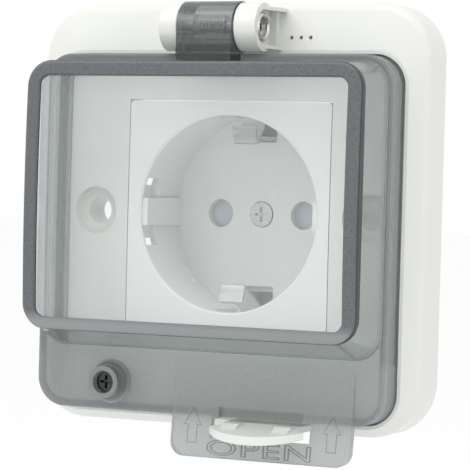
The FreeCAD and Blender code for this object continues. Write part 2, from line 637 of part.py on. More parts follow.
def make_barrel(body):
    """Add the barrel round the hinge axis, the strap down to the hood, and bore them."""
    barrel = new_sketch(body, "Barrel", "YZ_Plane")
    draw_circle(barrel, "-hinge_out", "hinge_up", "barrel_radius")
    pad(body, "BarrelPad", barrel, "2 * barrel_half", both=True)
    strap = new_sketch(body, "Strap", "YZ_Plane")
    draw_polygon(strap, [("-hinge_out - barrel_radius", "hinge_up"),
                         ("-hinge_out - barrel_radius", "hood_top - lid_wall * 0.75"),
                         ("-hinge_out + 1.4", "hood_top - lid_wall * 0.5"),
                         ("-hinge_out + 1.4", "hinge_up")])
    pad(body, "StrapPad", strap, "2 * barrel_half", both=True)
    bore = new_sketch(body, "BarrelBore", "YZ_Plane")
    draw_circle(bore, "-hinge_out", "hinge_up", "pin_radius + pin_play")
    pocket(body, "BarrelBoreCut", bore, "2 * barrel_half + 2", both=True)
    chamber = new_sketch(body, "SpringChamber", "YZ_Plane", "coil_start - 0.5")
    draw_circle(chamber, "-hinge_out", "hinge_up", "chamber_radius")
    pocket(body, "SpringChamberCut", chamber, "barrel_half - coil_start + 0.5 + 1", back=True)


def make_tab(body):
    """Add the flared opening tab with its slot, and cut the bay for the latch behind it."""
    left = "tab_centre - tab_width / 2"
    plate = new_sketch(body, "Tab", "YZ_Plane", left)
    draw_polygon(plate, [("-lid_front + 0.4", "-tab_top"),
                         ("-lid_front", "-tab_top"),
                         ("-lid_front - tab_flare", "-tab_bottom"),
                         ("-lid_front - tab_flare + tab_thick", "-tab_bottom"),
                         ("-lid_front + 0.4", "-lid_bottom + 0.4")])
    pad(body, "TabPad", plate, "tab_width")
    round_edges(body, "TabRound", "tab_corner", is_tab_corner)

    bay = new_sketch(body, "LatchBay", offset="skirt_end")
    draw_rectangle(bay, "tab_centre - bay_half", "tab_centre + bay_half", "-(lid_bottom + 1)",
                   "-(lid_bottom - lid_wall - 0.5)")
    pocket(body, "LatchBayCut", bay, "lid_front - bay_depth - skirt_end", back=True)

    slot = new_sketch(body, "Slot", offset="lid_front")
    draw_rectangle(slot, "tab_centre - slot_width / 2", "tab_centre + slot_width / 2", "-slot_bottom",
                   "-slot_top")
    pocket(body, "SlotCut", slot, "tab_flare + 1", back=True)
    through = new_sketch(body, "SlotThrough", offset="lid_front - bay_depth - 1")
    draw_rectangle(through, "tab_centre - slot_wide / 2", "tab_centre + slot_wide / 2",
                   "-slot_bottom", "-(slot_top + slot_neck)")
    pocket(body, "SlotThroughCut", through, "tab_flare + bay_depth + 2", back=True)


def is_tab_corner(edge):
    """Tell whether an edge is one of the tab's two lower corners."""
    box = edge.BoundBox
    return box.XLength < 0.01 and box.ZMax < -number("tab_bottom") + 0.01 and box.YLength > 1


def make_boss(body):
    """Add the lock boss: a cone, a bead and a tube with a bore and a seat for the screw."""
    place = ("-boss_across", "-boss_down")
    foot = new_sketch(body, "BossFoot", offset="lid_front - 0.2")
    draw_circle(foot, *place, "boss_foot")
    shoulder = new_sketch(body, "BossShoulder", offset="lid_front + boss_cone")
    draw_circle(shoulder, *place, "boss_tube + 0.35")
    loft(body, "Additive", "BossCone", [foot, shoulder])
    tube = new_sketch(body, "BossTube", offset="lid_front")
    draw_circle(tube, *place, "boss_tube")
    pad(body, "BossTubePad", tube, "boss_tall")
    bore = new_sketch(body, "BossBore", offset="lid_front + boss_seat")
    draw_circle(bore, *place, "boss_bore")
    pocket(body, "BossBoreCut", bore, "boss_tall", back=True)
    hole = new_sketch(body, "BossHole", offset="lid_front - lid_wall - 1")
    draw_circle(hole, *place, "lock_shank + lock_play")
    pocket(body, "BossHoleCut", hole, "lid_wall + boss_tall + 1", back=True)


def make_window():
    """Window frame and clear pane, both bowed when seen from the side."""
    frame = new_body("window_frame")
    ring = new_sketch(frame, "FrameRing", offset="hood_front")
    draw_round_rectangle(ring, "-bezel_width / 2", "bezel_width / 2", "-bezel_bottom", "bezel_top",
                         "bezel_corner")
    pad(frame, "FramePad", ring, "bezel_crown + 0.5 - hood_front")
    rebate = new_sketch(frame, "Rebate", offset="hood_front")
    draw_window(rebate, "(pane_lap + pane_gap)")
    pocket(frame, "RebateCut", rebate, "pane_edge", back=True)
    light = new_sketch(frame, "Light", offset="hood_front")
    draw_window(light, "0")
    pocket(frame, "LightCut", light, "bezel_crown", back=True)
    cut_bow(frame, "FrameBow", "0")
    round_edges(frame, "FrameRound", "frame_round", is_frame_rim)
    bevel_edges(frame, "LightBevel", "light_bevel", is_light_rim)

    pane = new_body("window_pane")
    rim = new_sketch(pane, "PaneRim", offset="hood_front")
    draw_window(rim, "pane_lap")
    pad(pane, "PaneRimPad", rim, "pane_edge")
    face = new_sketch(pane, "PaneFace", offset="hood_front")
    draw_window(face, "(-pane_gap)")
    pad(pane, "PaneFacePad", face, "bezel_crown - hood_front")
    cut_bow(pane, "PaneBow", "pane_recess")
    return [frame, pane]


def is_frame_front(edge):
    """Tell whether an edge lies in the window frame's bowed face."""
    box = edge.BoundBox
    return -box.YMax > number("hood_front + pane_edge") + 0.2 and box.YLength < 1


def is_frame_rim(edge):
    """Tell whether an edge runs round the outside of the window frame's face."""
    box = edge.BoundBox
    wide = max(abs(box.XMin), abs(box.XMax)) > number("window_width / 2 + frame_side / 2")
    tall = max(box.ZMax - number("window_top + frame_top / 2"),
               -box.ZMin - number("window_bottom + frame_bottom / 2")) > 0
    return is_frame_front(edge) and (wide or tall)


def is_light_rim(edge):
    """Tell whether an edge runs round the window's light in the frame's face."""
    box = edge.BoundBox
    inside = max(abs(box.XMin), abs(box.XMax)) < number("window_width / 2") + 0.01
    return is_frame_front(edge) and inside and box.ZMax < number("window_top") + 0.01 \
        and box.ZMin > -number("window_bottom") - 0.01


def draw_window(sketch, outset):
    """Draw the clear window's outline, moved out by a formula."""
    draw_round_rectangle(sketch, f"-(window_width / 2 + {outset})", f"window_width / 2 + {outset}",
                         f"-(window_bottom + {outset})", f"window_top + {outset}",
                         f"window_corner + {outset} * 0.6")


def cut_bow(body, name, recess):
    """Cut the front of a body to the bow, a slice of a wide cylinder along X."""
    profile = new_sketch(body, name, "YZ_Plane")
    reach = number("bow_reach")
    middle, height = number("-bow_axis"), number("bow_height")
    radius = number(f"bow_radius - {recess}")
    turn = math.asin(reach / radius)
    circle = Part.Circle(Vector(middle, height, 0), Vector(0, 0, 1), radius)
    profile.addGeometry(Part.ArcOfCircle(circle, math.pi - turn, math.pi + turn), False)
    high, low = profile.Geometry[0].StartPoint, profile.Geometry[0].EndPoint
    front = number("-bow_axis - bow_radius - 5")
    outer = [high, Vector(front, high.y, 0), Vector(front, low.y, 0), low]
    for begin, stop in zip(outer, outer[1:]):
        profile.addGeometry(Part.LineSegment(begin, stop), False)
    for edge, end, following, start in ((0, 1, 1, 1), (1, 2, 2, 1), (2, 2, 3, 1), (3, 2, 0, 2)):
        profile.addConstraint(Sketcher.Constraint("Coincident", edge, end, following, start))
    profile.addConstraint(Sketcher.Constraint("Horizontal", 1))
    profile.addConstraint(Sketcher.Constraint("Horizontal", 3))
    hold_point(profile, 0, 3, "-bow_axis", "bow_height")
    hold(profile, "Radius", (0,), f"bow_radius - {recess}")
    hold_point(profile, 2, 1, "-bow_axis - bow_radius - 5", "bow_height + bow_reach")
    hold_point(profile, 2, 2, "-bow_axis - bow_radius - 5", "bow_height - bow_reach")
    pocket(body, name + "Cut", profile, "2 * bezel_width", both=True)


def make_hinge():
    """Hinge pin with its cupped head, and the lid's torsion spring round it."""
    pin = new_body("hinge_pin")
    head_start = "lug_inner + lug_right - pin_head_tall"
    shank = new_sketch(pin, "Shank", "YZ_Plane", "-(lug_inner + lug_left - 1.0)")
    draw_circle(shank, "-hinge_out", "hinge_up", "pin_radius")
    pad(pin, "ShankPad", shank, "2 * lug_inner + lug_left + lug_right - 1.0 - pin_head_tall / 2")
    head = new_sketch(pin, "Head", "YZ_Plane", head_start)
    draw_circle(head, "-hinge_out", "hinge_up", "pin_head")
    pad(pin, "HeadPad", head, "pin_head_tall")
    cup = new_sketch(pin, "Cup", "YZ_Plane", f"{head_start} + pin_head_tall - pin_cup_deep")
    draw_circle(cup, "-hinge_out", "hinge_up", "pin_cup")
    pocket(pin, "CupCut", cup, "pin_cup_deep + 1", back=True)
    bore = new_sketch(pin, "PinBore", "YZ_Plane", f"{head_start} + pin_head_tall - pin_cup_deep - pin_bore_deep")
    draw_circle(bore, "-hinge_out", "hinge_up", "pin_bore")
    pocket(pin, "PinBoreCut", bore, "pin_bore_deep + 0.5", back=True)
    bevel_edges(pin, "HeadBevel", "pin_bevel", is_head_rim)
    spring = make_coil("hinge_spring", "coil_start", "-hinge_out", "hinge_up", "coil_radius",
                       "coil_wire", "coil_pitch", "coil_turns", sides=6)
    return [pin, spring]


def is_head_rim(edge):
    """Tell whether an edge is a rim of the pin head's outer face."""
    end = number("lug_inner + lug_right")
    return abs(edge.BoundBox.XMin - end) < 0.01 and abs(edge.BoundBox.XMax - end) < 0.01


def make_coil(label, start, across, up, radius, wire, pitch, turns, sides=4):
    """Coil spring along X from a start, as a many-sided wire of the round one's area on a helix."""
    helix = doc.addObject("Part::Helix", label + "_helix")
    bind(helix, Radius=radius, Pitch=pitch, Height=f"{pitch} * {turns}")
    section = doc.addObject("Part::RegularPolygon", label + "_wire")
    section.Polygon = sides
    widen = math.sqrt(2 * math.pi / sides / math.sin(2 * math.pi / sides))
    bind(section, Circumradius=f"({wire}) * {widen:.6f}")
    section.setExpression("Placement.Base.x", formula(radius))
    section.Placement = Placement(Vector(number(radius), 0, 0), Rotation(Vector(1, 0, 0), 90))
    sweep = doc.addObject("Part::Sweep", label)
    sweep.Sections = [section]
    sweep.Spine = (helix, [])
    sweep.Solid = True
    sweep.Frenet = True
    doc.recompute()
    sweep.Label = label
    sweep.Placement = Placement(Vector(number(start), number(across), number(up)),
                                Rotation(Vector(0, 1, 0), 90))
    for axis, text in (("x", start), ("y", across), ("z", up)):
        sweep.setExpression(f"Placement.Base.{axis}", formula(text))
    doc.recompute()
    return sweep


def make_latch():
    """Latch lever with its tongue, the pin it turns on, and its spring."""
    lever = new_body("latch")
    lower = "-(latch_top + latch_thick)"
    drop = "(tongue_tip - latch_root) * tan(latch_slope)"
    arm = new_sketch(lever, "Arm", "YZ_Plane", "tab_centre")
    draw_polygon(arm, [("-3.0", "-latch_top"), ("-latch_root", "-latch_top"),
                       ("-tongue_tip - 0.5", f"-latch_top - {drop}"),
                       ("-tongue_tip - 0.5", f"{lower} - latch_lip - {drop}"),
                       ("-latch_root", lower), ("-3.0", lower)])
    pad(lever, "ArmPad", arm, "2 * tongue_half + 1", both=True)

    outline = new_sketch(lever, "TonguePlan", "XY_Plane", "-(latch_top + 6)")
    plan = [("tab_centre - tongue_half - 3", "0"), ("tab_centre - latch_half", "0"),
            ("tab_centre - latch_half", "-lid_front - tab_flare * 0.9"),
            ("tab_centre - tongue_half", "-tongue_side"),
            ("tab_centre - tongue_half", "-tongue_tip - 3"),
            ("tab_centre - tongue_half - 3", "-tongue_tip - 3")]
    draw_polygon(outline, plan)
    pocket(lever, "LeftTrim", outline, "12", back=True)
    mirror_plan = [(across.replace("tab_centre -", "tab_centre +").replace("_half - 3", "_half + 3"), up)
                   for across, up in plan]
    outline = new_sketch(lever, "TonguePlanRight", "XY_Plane", "-(latch_top + 6)")
    draw_polygon(outline, mirror_plan)
    pocket(lever, "RightTrim", outline, "12", back=True)
    make_tongue_front(lever)

    eyes = new_sketch(lever, "Eyes", "YZ_Plane", "tab_centre")
    draw_circle(eyes, "-pivot_out", "-pivot_down", "pivot_eye")
    pad(lever, "EyesPad", eyes, "2 * latch_half - 1", both=True)
    necks = new_sketch(lever, "Necks", "YZ_Plane", "tab_centre")
    draw_rectangle(necks, "-pivot_out - pivot_eye * 0.9", "-3.0", "-latch_top - 0.5", "-pivot_down")
    pad(lever, "NecksPad", necks, "2 * latch_half - 1", both=True)
    gap = new_sketch(lever, "EyeGap", "YZ_Plane", "tab_centre")
    draw_rectangle(gap, "-pivot_out - 3", "-pivot_out + 3", "-latch_top", "-pivot_down + 3")
    pocket(lever, "EyeGapCut", gap, "2 * latch_half - 1 - 2 * eye_width", both=True)
    bore = new_sketch(lever, "EyeBore", "YZ_Plane", "tab_centre")
    draw_circle(bore, "-pivot_out", "-pivot_down", "pivot_radius + pivot_play")
    pocket(lever, "EyeBoreCut", bore, "3 * latch_half", both=True)

    for side in (-1, 1):
        wedge = new_sketch(lever, f"Wedge{side + 1}", "YZ_Plane", f"tab_centre + {side * 5.6}")
        draw_polygon(wedge, [("-latch_root + 0.4", "-latch_top + 0.02"),
                             ("-latch_root - 3.6", "-latch_top + 0.02"),
                             ("-latch_root - 6.2", "-latch_top - 6.2 * tan(latch_slope) - 0.2"),
                             ("-latch_root + 0.4", "-latch_top - 0.6")])
        pad(lever, f"WedgePad{side + 1}", wedge, "3.4", both=True)

    pin = new_body("latch_pin")
    rod = new_sketch(pin, "Rod", "YZ_Plane", "tab_centre")
    draw_circle(rod, "-pivot_out", "-pivot_down", "pivot_radius")
    pad(pin, "RodPad", rod, "2 * (latch_half + latch_gap) + 2 * rib_width", both=True)

    spring = make_coil("latch_spring", "tab_centre - 1.6", "-pivot_out", "-pivot_down",
                       "pivot_radius + 0.55", "0.2", "0.55", "3.5")
    return [lever, pin, spring]


def make_tongue_front(lever):
    """Trim the tongue's front to its bow and round its two corners."""
    front = new_sketch(lever, "TongueFront", "XY_Plane", "-(latch_top + 6)")
    half, side, tip = number("tongue_half"), number("tongue_side"), number("tongue_tip")
    centre = number("tab_centre")
    bow = (half ** 2 + (tip - side) ** 2) / (2 * (tip - side))
    turn = math.asin(half / bow)
    circle = Part.Circle(Vector(centre, bow - tip, 0), Vector(0, 0, 1), bow)
    front.addGeometry(Part.ArcOfCircle(circle, 1.5 * math.pi - turn, 1.5 * math.pi + turn), False)
    spots = [Vector(centre + half, -side, 0), Vector(centre + half + 3, -side, 0),
             Vector(centre + half + 3, -tip - 3, 0), Vector(centre - half - 3, -tip - 3, 0),
             Vector(centre - half - 3, -side, 0), Vector(centre - half, -side, 0)]
    for start, end in zip(spots, spots[1:]):
        front.addGeometry(Part.LineSegment(start, end), False)
    front.addConstraint(Sketcher.Constraint("Coincident", 0, 2, 1, 1))
    for index in range(1, 5):
        front.addConstraint(Sketcher.Constraint("Coincident", index, 2, index + 1, 1))
    front.addConstraint(Sketcher.Constraint("Coincident", 5, 2, 0, 1))
    places = [("tab_centre + tongue_half", "-tongue_side"), ("tab_centre + tongue_half + 3", "-tongue_side"),
              ("tab_centre + tongue_half + 3", "-tongue_tip - 3"),
              ("tab_centre - tongue_half - 3", "-tongue_tip - 3"),
              ("tab_centre - tongue_half - 3", "-tongue_side")]
    for index, (across, up) in enumerate(places, start=1):
        hold_point(front, index, 1, across, up)
    hold_point(front, 5, 2, "tab_centre - tongue_half", "-tongue_side")
    hold(front, "Radius", (0,), "(tongue_half ^ 2 + (tongue_tip - tongue_side) ^ 2)"
                                " / (2 * (tongue_tip - tongue_side))")
    pocket(lever, "TongueFrontCut", front, "12", back=True)


def make_lock_screw():
    """Lock screw held in the boss, with a cross recess in its head."""
    screw = new_body("lock_screw")
    place = ("-boss_across", "-boss_down")
    head = new_sketch(screw, "Head", offset="lid_front + boss_seat")
    draw_circle(head, *place, "lock_head")
    pad(screw, "HeadPad", head, "lock_head_tall")
    shank = new_sketch(screw, "Shank", offset="lid_front + boss_seat")
    draw_circle(shank, *place, "lock_shank")
    pad(screw, "ShankPad", shank, "lid_front + boss_seat - pillar_top - lock_clear", back=True)
    cut_cross(screw, "-boss_across", "-boss_down", "lid_front + boss_seat + lock_head_tall",
              "lock_head * 0.62", "0.9")
    return screw


def cut_cross(body, across, up, front, reach, depth):
    """Cut a cross recess into a screw's face."""
    for name, wide, tall in (("CrossWide", reach, "0.28"), ("CrossTall", "0.28", reach)):
        arm = new_sketch(body, name, offset=front)
        draw_rectangle(arm, f"{across} - {wide}", f"{across} + {wide}", f"{up} - {tall}", f"{up} + {tall}")
        pocket(body, name + "Cut", arm, depth)


def make_cover():
    """Socket front: square plate with the round well, guides, holes and snap arms."""
    body = new_body("socket_cover")
    plate = new_sketch(body, "Plate", offset="base_floor")
    half = "insert_size / 2"
    draw_round_rectangle(plate, f"-{half}", half, f"-{half}", half, "0.8")
    pad(body, "PlatePad", plate, "insert_plate", back=True)
    drum = new_sketch(body, "WellDrum", offset="base_floor - insert_plate / 2")
    draw_circle(drum, "0", "0", "well_radius + well_wall")
    pad(body, "WellDrumPad", drum, "well_depth + well_floor - insert_plate / 2", back=True)
    well = new_sketch(body, "Well", offset="base_floor")
    draw_circle(well, "0", "0", "well_radius")
    pocket(body, "WellCut", well, "well_depth")
    bevel_edges(body, "WellLip", "well_bevel", is_well_lip)

    reliefs = new_sketch(body, "Reliefs", offset="base_floor - guide_start")
    for side in (-1, 1):
        edges = [f"{side} * (well_radius + relief_cut)", f"{side} * (well_radius - guide_depth)"]
        edges.sort(key=number)
        draw_rectangle(reliefs, *edges, "guide_height / 2", "guide_height / 2 + relief_tall")
        draw_rectangle(reliefs, *edges, "-guide_height / 2 - relief_tall", "-guide_height / 2")
    pocket(body, "ReliefsCut", reliefs, "relief_deep")

    guides = new_sketch(body, "Guides", offset="base_floor - guide_start")
    for side in (-1, 1):
        edges = [f"{side} * (well_radius + well_wall / 2)", f"{side} * (well_radius - guide_depth)"]
        edges.sort(key=number)
        draw_rectangle(guides, *edges, "-guide_height / 2", "guide_height / 2")
    pad(body, "GuidesPad", guides, "well_depth - guide_start + well_floor / 2", back=True)

    for name, back in (("Top", True), ("Bottom", False)):
        window = new_sketch(body, name + "Window", "XY_Plane")
        draw_rectangle(window, "-clip_window / 2", "clip_window / 2", "-window_front", "-window_end")
        pocket(body, name + "WindowCut", window, "well_radius + well_wall + 1", back=back)

    holes = new_sketch(body, "ContactHoles", offset="base_floor")
    for side in ("-", ""):
        draw_circle(holes, f"{side}pin_pitch / 2", "0", "contact_hole")
    pocket(body, "ContactHolesCut", holes, "well_depth + well_floor + 1")
    slots = new_sketch(body, "FloorSlots", offset="base_floor - well_depth")
    draw_rectangle(slots, "-floor_slot / 2", "floor_slot / 2",
                   "well_radius - floor_slot_rim - floor_slot_tall", "well_radius - floor_slot_rim")
    draw_rectangle(slots, "-floor_slot / 2", "floor_slot / 2", "-(well_radius - floor_slot_rim)",
                   "-(well_radius - floor_slot_rim - floor_slot_tall)")
    pocket(body, "FloorSlotsCut", slots, "well_floor + 1")
    sink = new_sketch(body, "CentreSink", offset="base_floor - well_depth")
    draw_circle(sink, "0", "0", "centre_head + 0.15")
    pocket(body, "CentreSinkCut", sink, "well_floor / 2")
    hole = new_sketch(body, "CentreHole", offset="base_floor - well_depth")
    draw_circle(hole, "0", "0", "centre_shank + 0.15")
    pocket(body, "CentreHoleCut", hole, "well_floor + 1")
    make_snaps(body)
    return body


def is_well_lip(edge):
    """Tell whether an edge is the front lip of the well."""
    box = edge.BoundBox
    return lies_at(edge, number("base_floor")) and abs(box.XLength - number("2 * well_radius")) < 0.1


def make_snaps(body):
    """Add a snap arm on each side that grips behind the plate's collar."""
    for side, name in ((-1, "Left"), (1, "Right")):
        inner = f"{side} * (insert_size / 2 - 1.2)"
        outer = f"{side} * insert_size / 2"
        hook = f"{side} * (insert_size / 2 + insert_gap + 0.7)"
        arm = new_sketch(body, name + "Snap", "XY_Plane")
        draw_polygon(arm, [(inner, "-base_floor + insert_plate - 0.4"), (inner, "-1.0"), (outer, "-1.0"),
                           (hook, "-2.2"), (hook, "-3.1"), (outer, "-3.1"),
                           (outer, "-base_floor + insert_plate - 0.4")])
        pad(body, name + "SnapPad", arm, "10", both=True)


def make_block():
    """Contact block: moulded housing behind the well with chambers for the contacts."""
    body = new_body("contact_block")
    outline = new_sketch(body, "BlockOutline", offset="well_back")
    draw_round_rectangle(outline, "-block_width / 2", "block_width / 2", "-block_height / 2",
                         "block_height / 2", "block_corner")
    pad(body, "BlockPad", outline, "block_depth", back=True)
    room = new_sketch(body, "DiscRoom", offset="well_back")
    draw_circle(room, "0", "0", "disc_radius + disc_play")
    draw_circle(room, "0", "0", "post_radius")
    pocket(body, "DiscRoomCut", room, "disc_thick + disc_play + spring_room")
    bore = new_sketch(body, "PostBore", offset="well_back")
    draw_circle(bore, "0", "0", "centre_shank")
    pocket(body, "PostBoreCut", bore, "centre_length")

    rooms = new_sketch(body, "SlotRooms", offset="well_back")
    draw_rectangle(rooms, "-floor_slot / 2", "floor_slot / 2", "disc_radius + disc_play + 1",
                   "block_height / 2 - 1.5")
    draw_rectangle(rooms, "-floor_slot / 2", "floor_slot / 2", "-(block_height / 2 - 1.5)",
                   "-(disc_radius + disc_play + 1)")
    pocket(body, "SlotRoomsCut", rooms, "slot_room")

    chambers = new_sketch(body, "Chambers", offset="well_back")
    for side in (-1, 1):
        edges = [f"{side} * (pin_pitch / 2 - sleeve_bore - sleeve_wall - 0.3)",
                 f"{side} * (terminal_across - terminal_thick - wire_gap)"]
        edges.sort(key=number)
        draw_rectangle(chambers, *edges, "-(sleeve_bore + sleeve_wall + 0.3)",
                       "sleeve_bore + sleeve_wall + 0.3")
    pocket(body, "ChambersCut", chambers, "well_back - sleeve_front + sleeve_length + 0.3")

    sides = new_sketch(body, "TerminalBays", offset="sleeve_front + 0.3")
    for side in (-1, 1):
        edges = [f"{side} * (terminal_across - terminal_thick - wire_gap - 0.3)", f"{side} * block_width"]
        edges.sort(key=number)
        draw_rectangle(sides, *edges, "-(terminal_side / 2 + 0.4)", "terminal_side / 2 + 0.4")
    pocket(body, "TerminalBaysCut", sides, "sleeve_length + 0.6")
    room = new_sketch(body, "EarthScrewRoom", "XY_Plane", "-block_height / 2")
    draw_circle(room, "0", "-sleeve_front + sleeve_length * 0.6", "screw_radius + 0.3")
    pocket(body, "EarthScrewRoomCut", room, "terminal_thick + wire_gap", back=True)
    return body


def make_contacts():
    """The two line contacts: a slit sleeve, a strap and a terminal plate each."""
    contacts = []
    for side, label in ((-1, "contact_left"), (1, "contact_right")):
        body = new_body(label)
        centre = f"{side} * pin_pitch / 2"
        ring = new_sketch(body, "Sleeve", offset="sleeve_front")
        draw_circle(ring, centre, "0", "sleeve_bore + sleeve_wall")
        draw_circle(ring, centre, "0", "sleeve_bore")
        pad(body, "SleevePad", ring, "sleeve_length", back=True)
        slit = new_sketch(body, "Slit", offset="sleeve_front")
        edges = [centre, f"{side} * (pin_pitch / 2 - sleeve_bore - sleeve_wall - 1)"]
        edges.sort(key=number)
        draw_rectangle(slit, *edges, "-sleeve_slit / 2", "sleeve_slit / 2")
        pocket(body, "SlitCut", slit, "sleeve_length")
        strap = new_sketch(body, "Strap", offset="sleeve_front")
        edges = [f"{side} * (pin_pitch / 2 + sleeve_bore + 0.2)", f"{side} * (terminal_across - 0.2)"]
        edges.sort(key=number)
        draw_rectangle(strap, *edges, "-terminal_thick / 2", "terminal_thick / 2")
        pad(body, "StrapPad", strap, "sleeve_length * 0.28", back=True)
        plate = new_sketch(body, "Terminal", offset="sleeve_front")
        edges = [f"{side} * (terminal_across - terminal_thick)", f"{side} * terminal_across"]
        edges.sort(key=number)
        draw_rectangle(plate, *edges, "-terminal_side / 2", "terminal_side / 2")
        pad(body, "TerminalPad", plate, "sleeve_length", back=True)
        bore = new_sketch(body, "TerminalBore", "YZ_Plane", f"{side} * terminal_across / 2")
        draw_circle(bore, "-sleeve_front + sleeve_length * 0.6", "0", "screw_radius")
        pocket(body, "TerminalBoreCut", bore, "terminal_across", back=side > 0)
        contacts.append(body)
    return contacts


def make_terminals():
    """Terminal screws and clamp plates: two at the sides, one on the earth strap below."""
    screws, clamps = [], []
    for name, outward, face in (("left", Vector(-1, 0, 0), "terminal_across"),
                                ("right", Vector(1, 0, 0), "terminal_across"),
                                ("earth", Vector(0, 0, -1), "block_height / 2 + strap_gap + clip_thick")):
        screws.append(make_screw(name + "_screw", outward, face))
        clamps.append(make_clamp(name + "_clamp", outward, face))
    return [join("terminal_screws", screws), join("clamp_plates", clamps)]


def terminal_place(outward, out):
    """Return the place on a terminal's axis at a distance out from the block's axis."""
    turn = Rotation(Vector(0, 0, 1), outward)
    return Placement(outward * number(out) + Vector(0, number("-sleeve_front + sleeve_length * 0.6"), 0), turn)


def make_screw(name, outward, face):
    """Slotted terminal screw standing outwards from a terminal's face."""
    clamp_top = f"{face} + terminal_thick + clamp_gap"
    shank = doc.addObject("Part::Cylinder", name + "_shank")
    bind(shank, Radius="screw_radius - 0.05", Height="terminal_thick + wire_gap + 1.2")
    shank.Placement = terminal_place(outward, f"{clamp_top} - (terminal_thick + wire_gap + 1.2)")
    head = doc.addObject("Part::Cylinder", name + "_head")
    bind(head, Radius="screw_head", Height="screw_head_tall")
    head.Placement = terminal_place(outward, clamp_top)
    slot = doc.addObject("Part::Box", name + "_slot")
    bind(slot, Length="2 * screw_head", Width="screw_slot", Height="screw_head_tall")
    corner = Placement(Vector(-number("screw_head"), -number("screw_slot / 2"), 0), Rotation())
    slot.Placement = terminal_place(outward, f"{clamp_top} + screw_head_tall * 0.5").multiply(corner)
    whole = doc.addObject("Part::MultiFuse", name + "_blank")
    whole.Shapes = [shank, head]
    cut = doc.addObject("Part::Cut", name)
    cut.Base = whole
    cut.Tool = slot
    return cut


def make_clamp(name, outward, face):
    """Square clamp plate under a terminal screw's head, with its hole."""
    plate = doc.addObject("Part::Box", name + "_plate")
    bind(plate, Length="terminal_side", Width="terminal_side", Height="terminal_thick")
    corner = Placement(Vector(-number("terminal_side / 2"), -number("terminal_side / 2"), 0), Rotation())
    plate.Placement = terminal_place(outward, f"{face} + clamp_gap").multiply(corner)
    hole = doc.addObject("Part::Cylinder", name + "_hole")
    bind(hole, Radius="screw_radius + 0.1", Height="terminal_thick * 2")
    hole.Placement = terminal_place(outward, f"{face} - terminal_thick * 0.5")
    cut = doc.addObject("Part::Cut", name)
    cut.Base = plate
    cut.Tool = hole
    return cut


def join(label, pieces):
    """Keep several separate solids together in one sub-part."""
    group = doc.addObject("Part::Compound", label)
    group.Links = pieces
    group.Label = label
    return group


def make_earth_strap():
    """Earth strap: one folded strip round the block, ending in the two clips in the well."""
    body = new_body("earth_strap")
    arm_up = "(block_height / 2 + strap_gap + clip_thick / 2)"
    back = "(-block_back + strap_gap + clip_thick / 2)"
    root = [("-window_end - 0.6", arm_up), ("-window_end - 1.6", "well_radius - clip_thick / 2")]
    lip = "(clip_reach + clip_lip)"
    upper = [("-clip_front - clip_bend", lip), ("-clip_front", "clip_reach"), root[1], root[0], (back, arm_up)]
    lower = [("-clip_front_low - clip_bend", lip), ("-clip_front_low", "clip_reach"), root[1], root[0],
             (back, arm_up)]
    route = upper + [(across, f"-({up})") for across, up in reversed(lower)]
    path = new_sketch(body, "StripPath", "YZ_Plane")
    spots = [Vector(number(across), number(up), 0) for across, up in route]
    for index, (start, end) in enumerate(zip(spots, spots[1:])):
        path.addGeometry(Part.LineSegment(start, end), False)
        if index:
            path.addConstraint(Sketcher.Constraint("Coincident", index - 1, 2, index, 1))
        hold_point(path, index, 1, *route[index])
    hold_point(path, len(spots) - 2, 2, *route[-1])
    section = new_sketch(body, "StripSection", "XY_Plane", lip)
    draw_rectangle(section, "-clip_width / 2", "clip_width / 2", "-clip_front - clip_bend - clip_thick / 2",
                   "-clip_front - clip_bend + clip_thick / 2")
    doc.recompute()
    strip = body.newObject("PartDesign::AdditivePipe", "Strip")
    strip.Profile = section
    strip.Spine = (path, [f"Edge{index + 1}" for index in range(len(spots) - 1)])
    strip.Transition = "Round corner"
    doc.recompute()
    bore = new_sketch(body, "EarthBore", "XY_Plane", "-block_height")
    draw_circle(bore, "0", "-sleeve_front + sleeve_length * 0.6", "screw_radius")
    pocket(body, "EarthBoreCut", bore, "block_height * 0.8", back=True)
    return body


def make_shutter():
    """Turning shutter disc behind the contact holes, and its torsion spring."""
    disc = new_body("shutter")
    plate = new_sketch(disc, "Disc", offset="well_back - disc_play / 2")
    draw_circle(plate, "0", "0", "disc_radius")
    draw_circle(plate, "0", "0", "post_radius + 0.3")
    pad(disc, "DiscPad", plate, "disc_thick", back=True)
    holes = new_sketch(disc, "DiscHoles", offset="well_back")
    for side in ("-", ""):
        draw_circle(holes, f"{side}pin_pitch / 2 * cos(disc_turn)", f"{side}pin_pitch / 2 * sin(disc_turn)",
                    "contact_hole + 0.1")
    pocket(disc, "DiscHolesCut", holes, "disc_thick + 1")
    spring = make_coil("shutter_spring", "0", "0", "0", "post_radius + 0.75", "0.18", "0.5", "2")
    spring.setExpression("Placement.Base.x", None)
    spring.Placement = Placement(Vector(0, number("-well_back + disc_play / 2 + disc_thick + 0.3"), 0),
                                 Rotation(Vector(1, 0, 0), -90))
    spring.setExpression("Placement.Base.y",
                         formula("-well_back + disc_play / 2 + disc_thick + 0.3"))
    return [disc, spring]


def make_centre_screw():
    """Centre screw that holds the socket front to the contact block."""
    screw = new_body("centre_screw")
    seat = "(base_floor - well_depth - well_floor / 2)"
    head = new_sketch(screw, "Head", offset=seat)
    draw_circle(head, "0", "0", "centre_head")
    pad(screw, "HeadPad", head, "centre_head_tall")
    shank = new_sketch(screw, "Shank", offset=seat)
    draw_circle(shank, "0", "0", "centre_shank")
    pad(screw, "ShankPad", shank, "centre_length", back=True)
    cut_cross(screw, "0", "0", f"{seat} + centre_head_tall", "centre_head * 0.62", "0.8")
    return screw


parts = [make_base(), make_lid(), make_lock_screw(), make_cover(), make_block(), make_earth_strap(),
         make_centre_screw()]
for group in (make_seals(), make_window(), make_hinge(), make_latch(), make_contacts(), make_terminals(),
              make_shutter()):
    parts += group
doc.recompute()

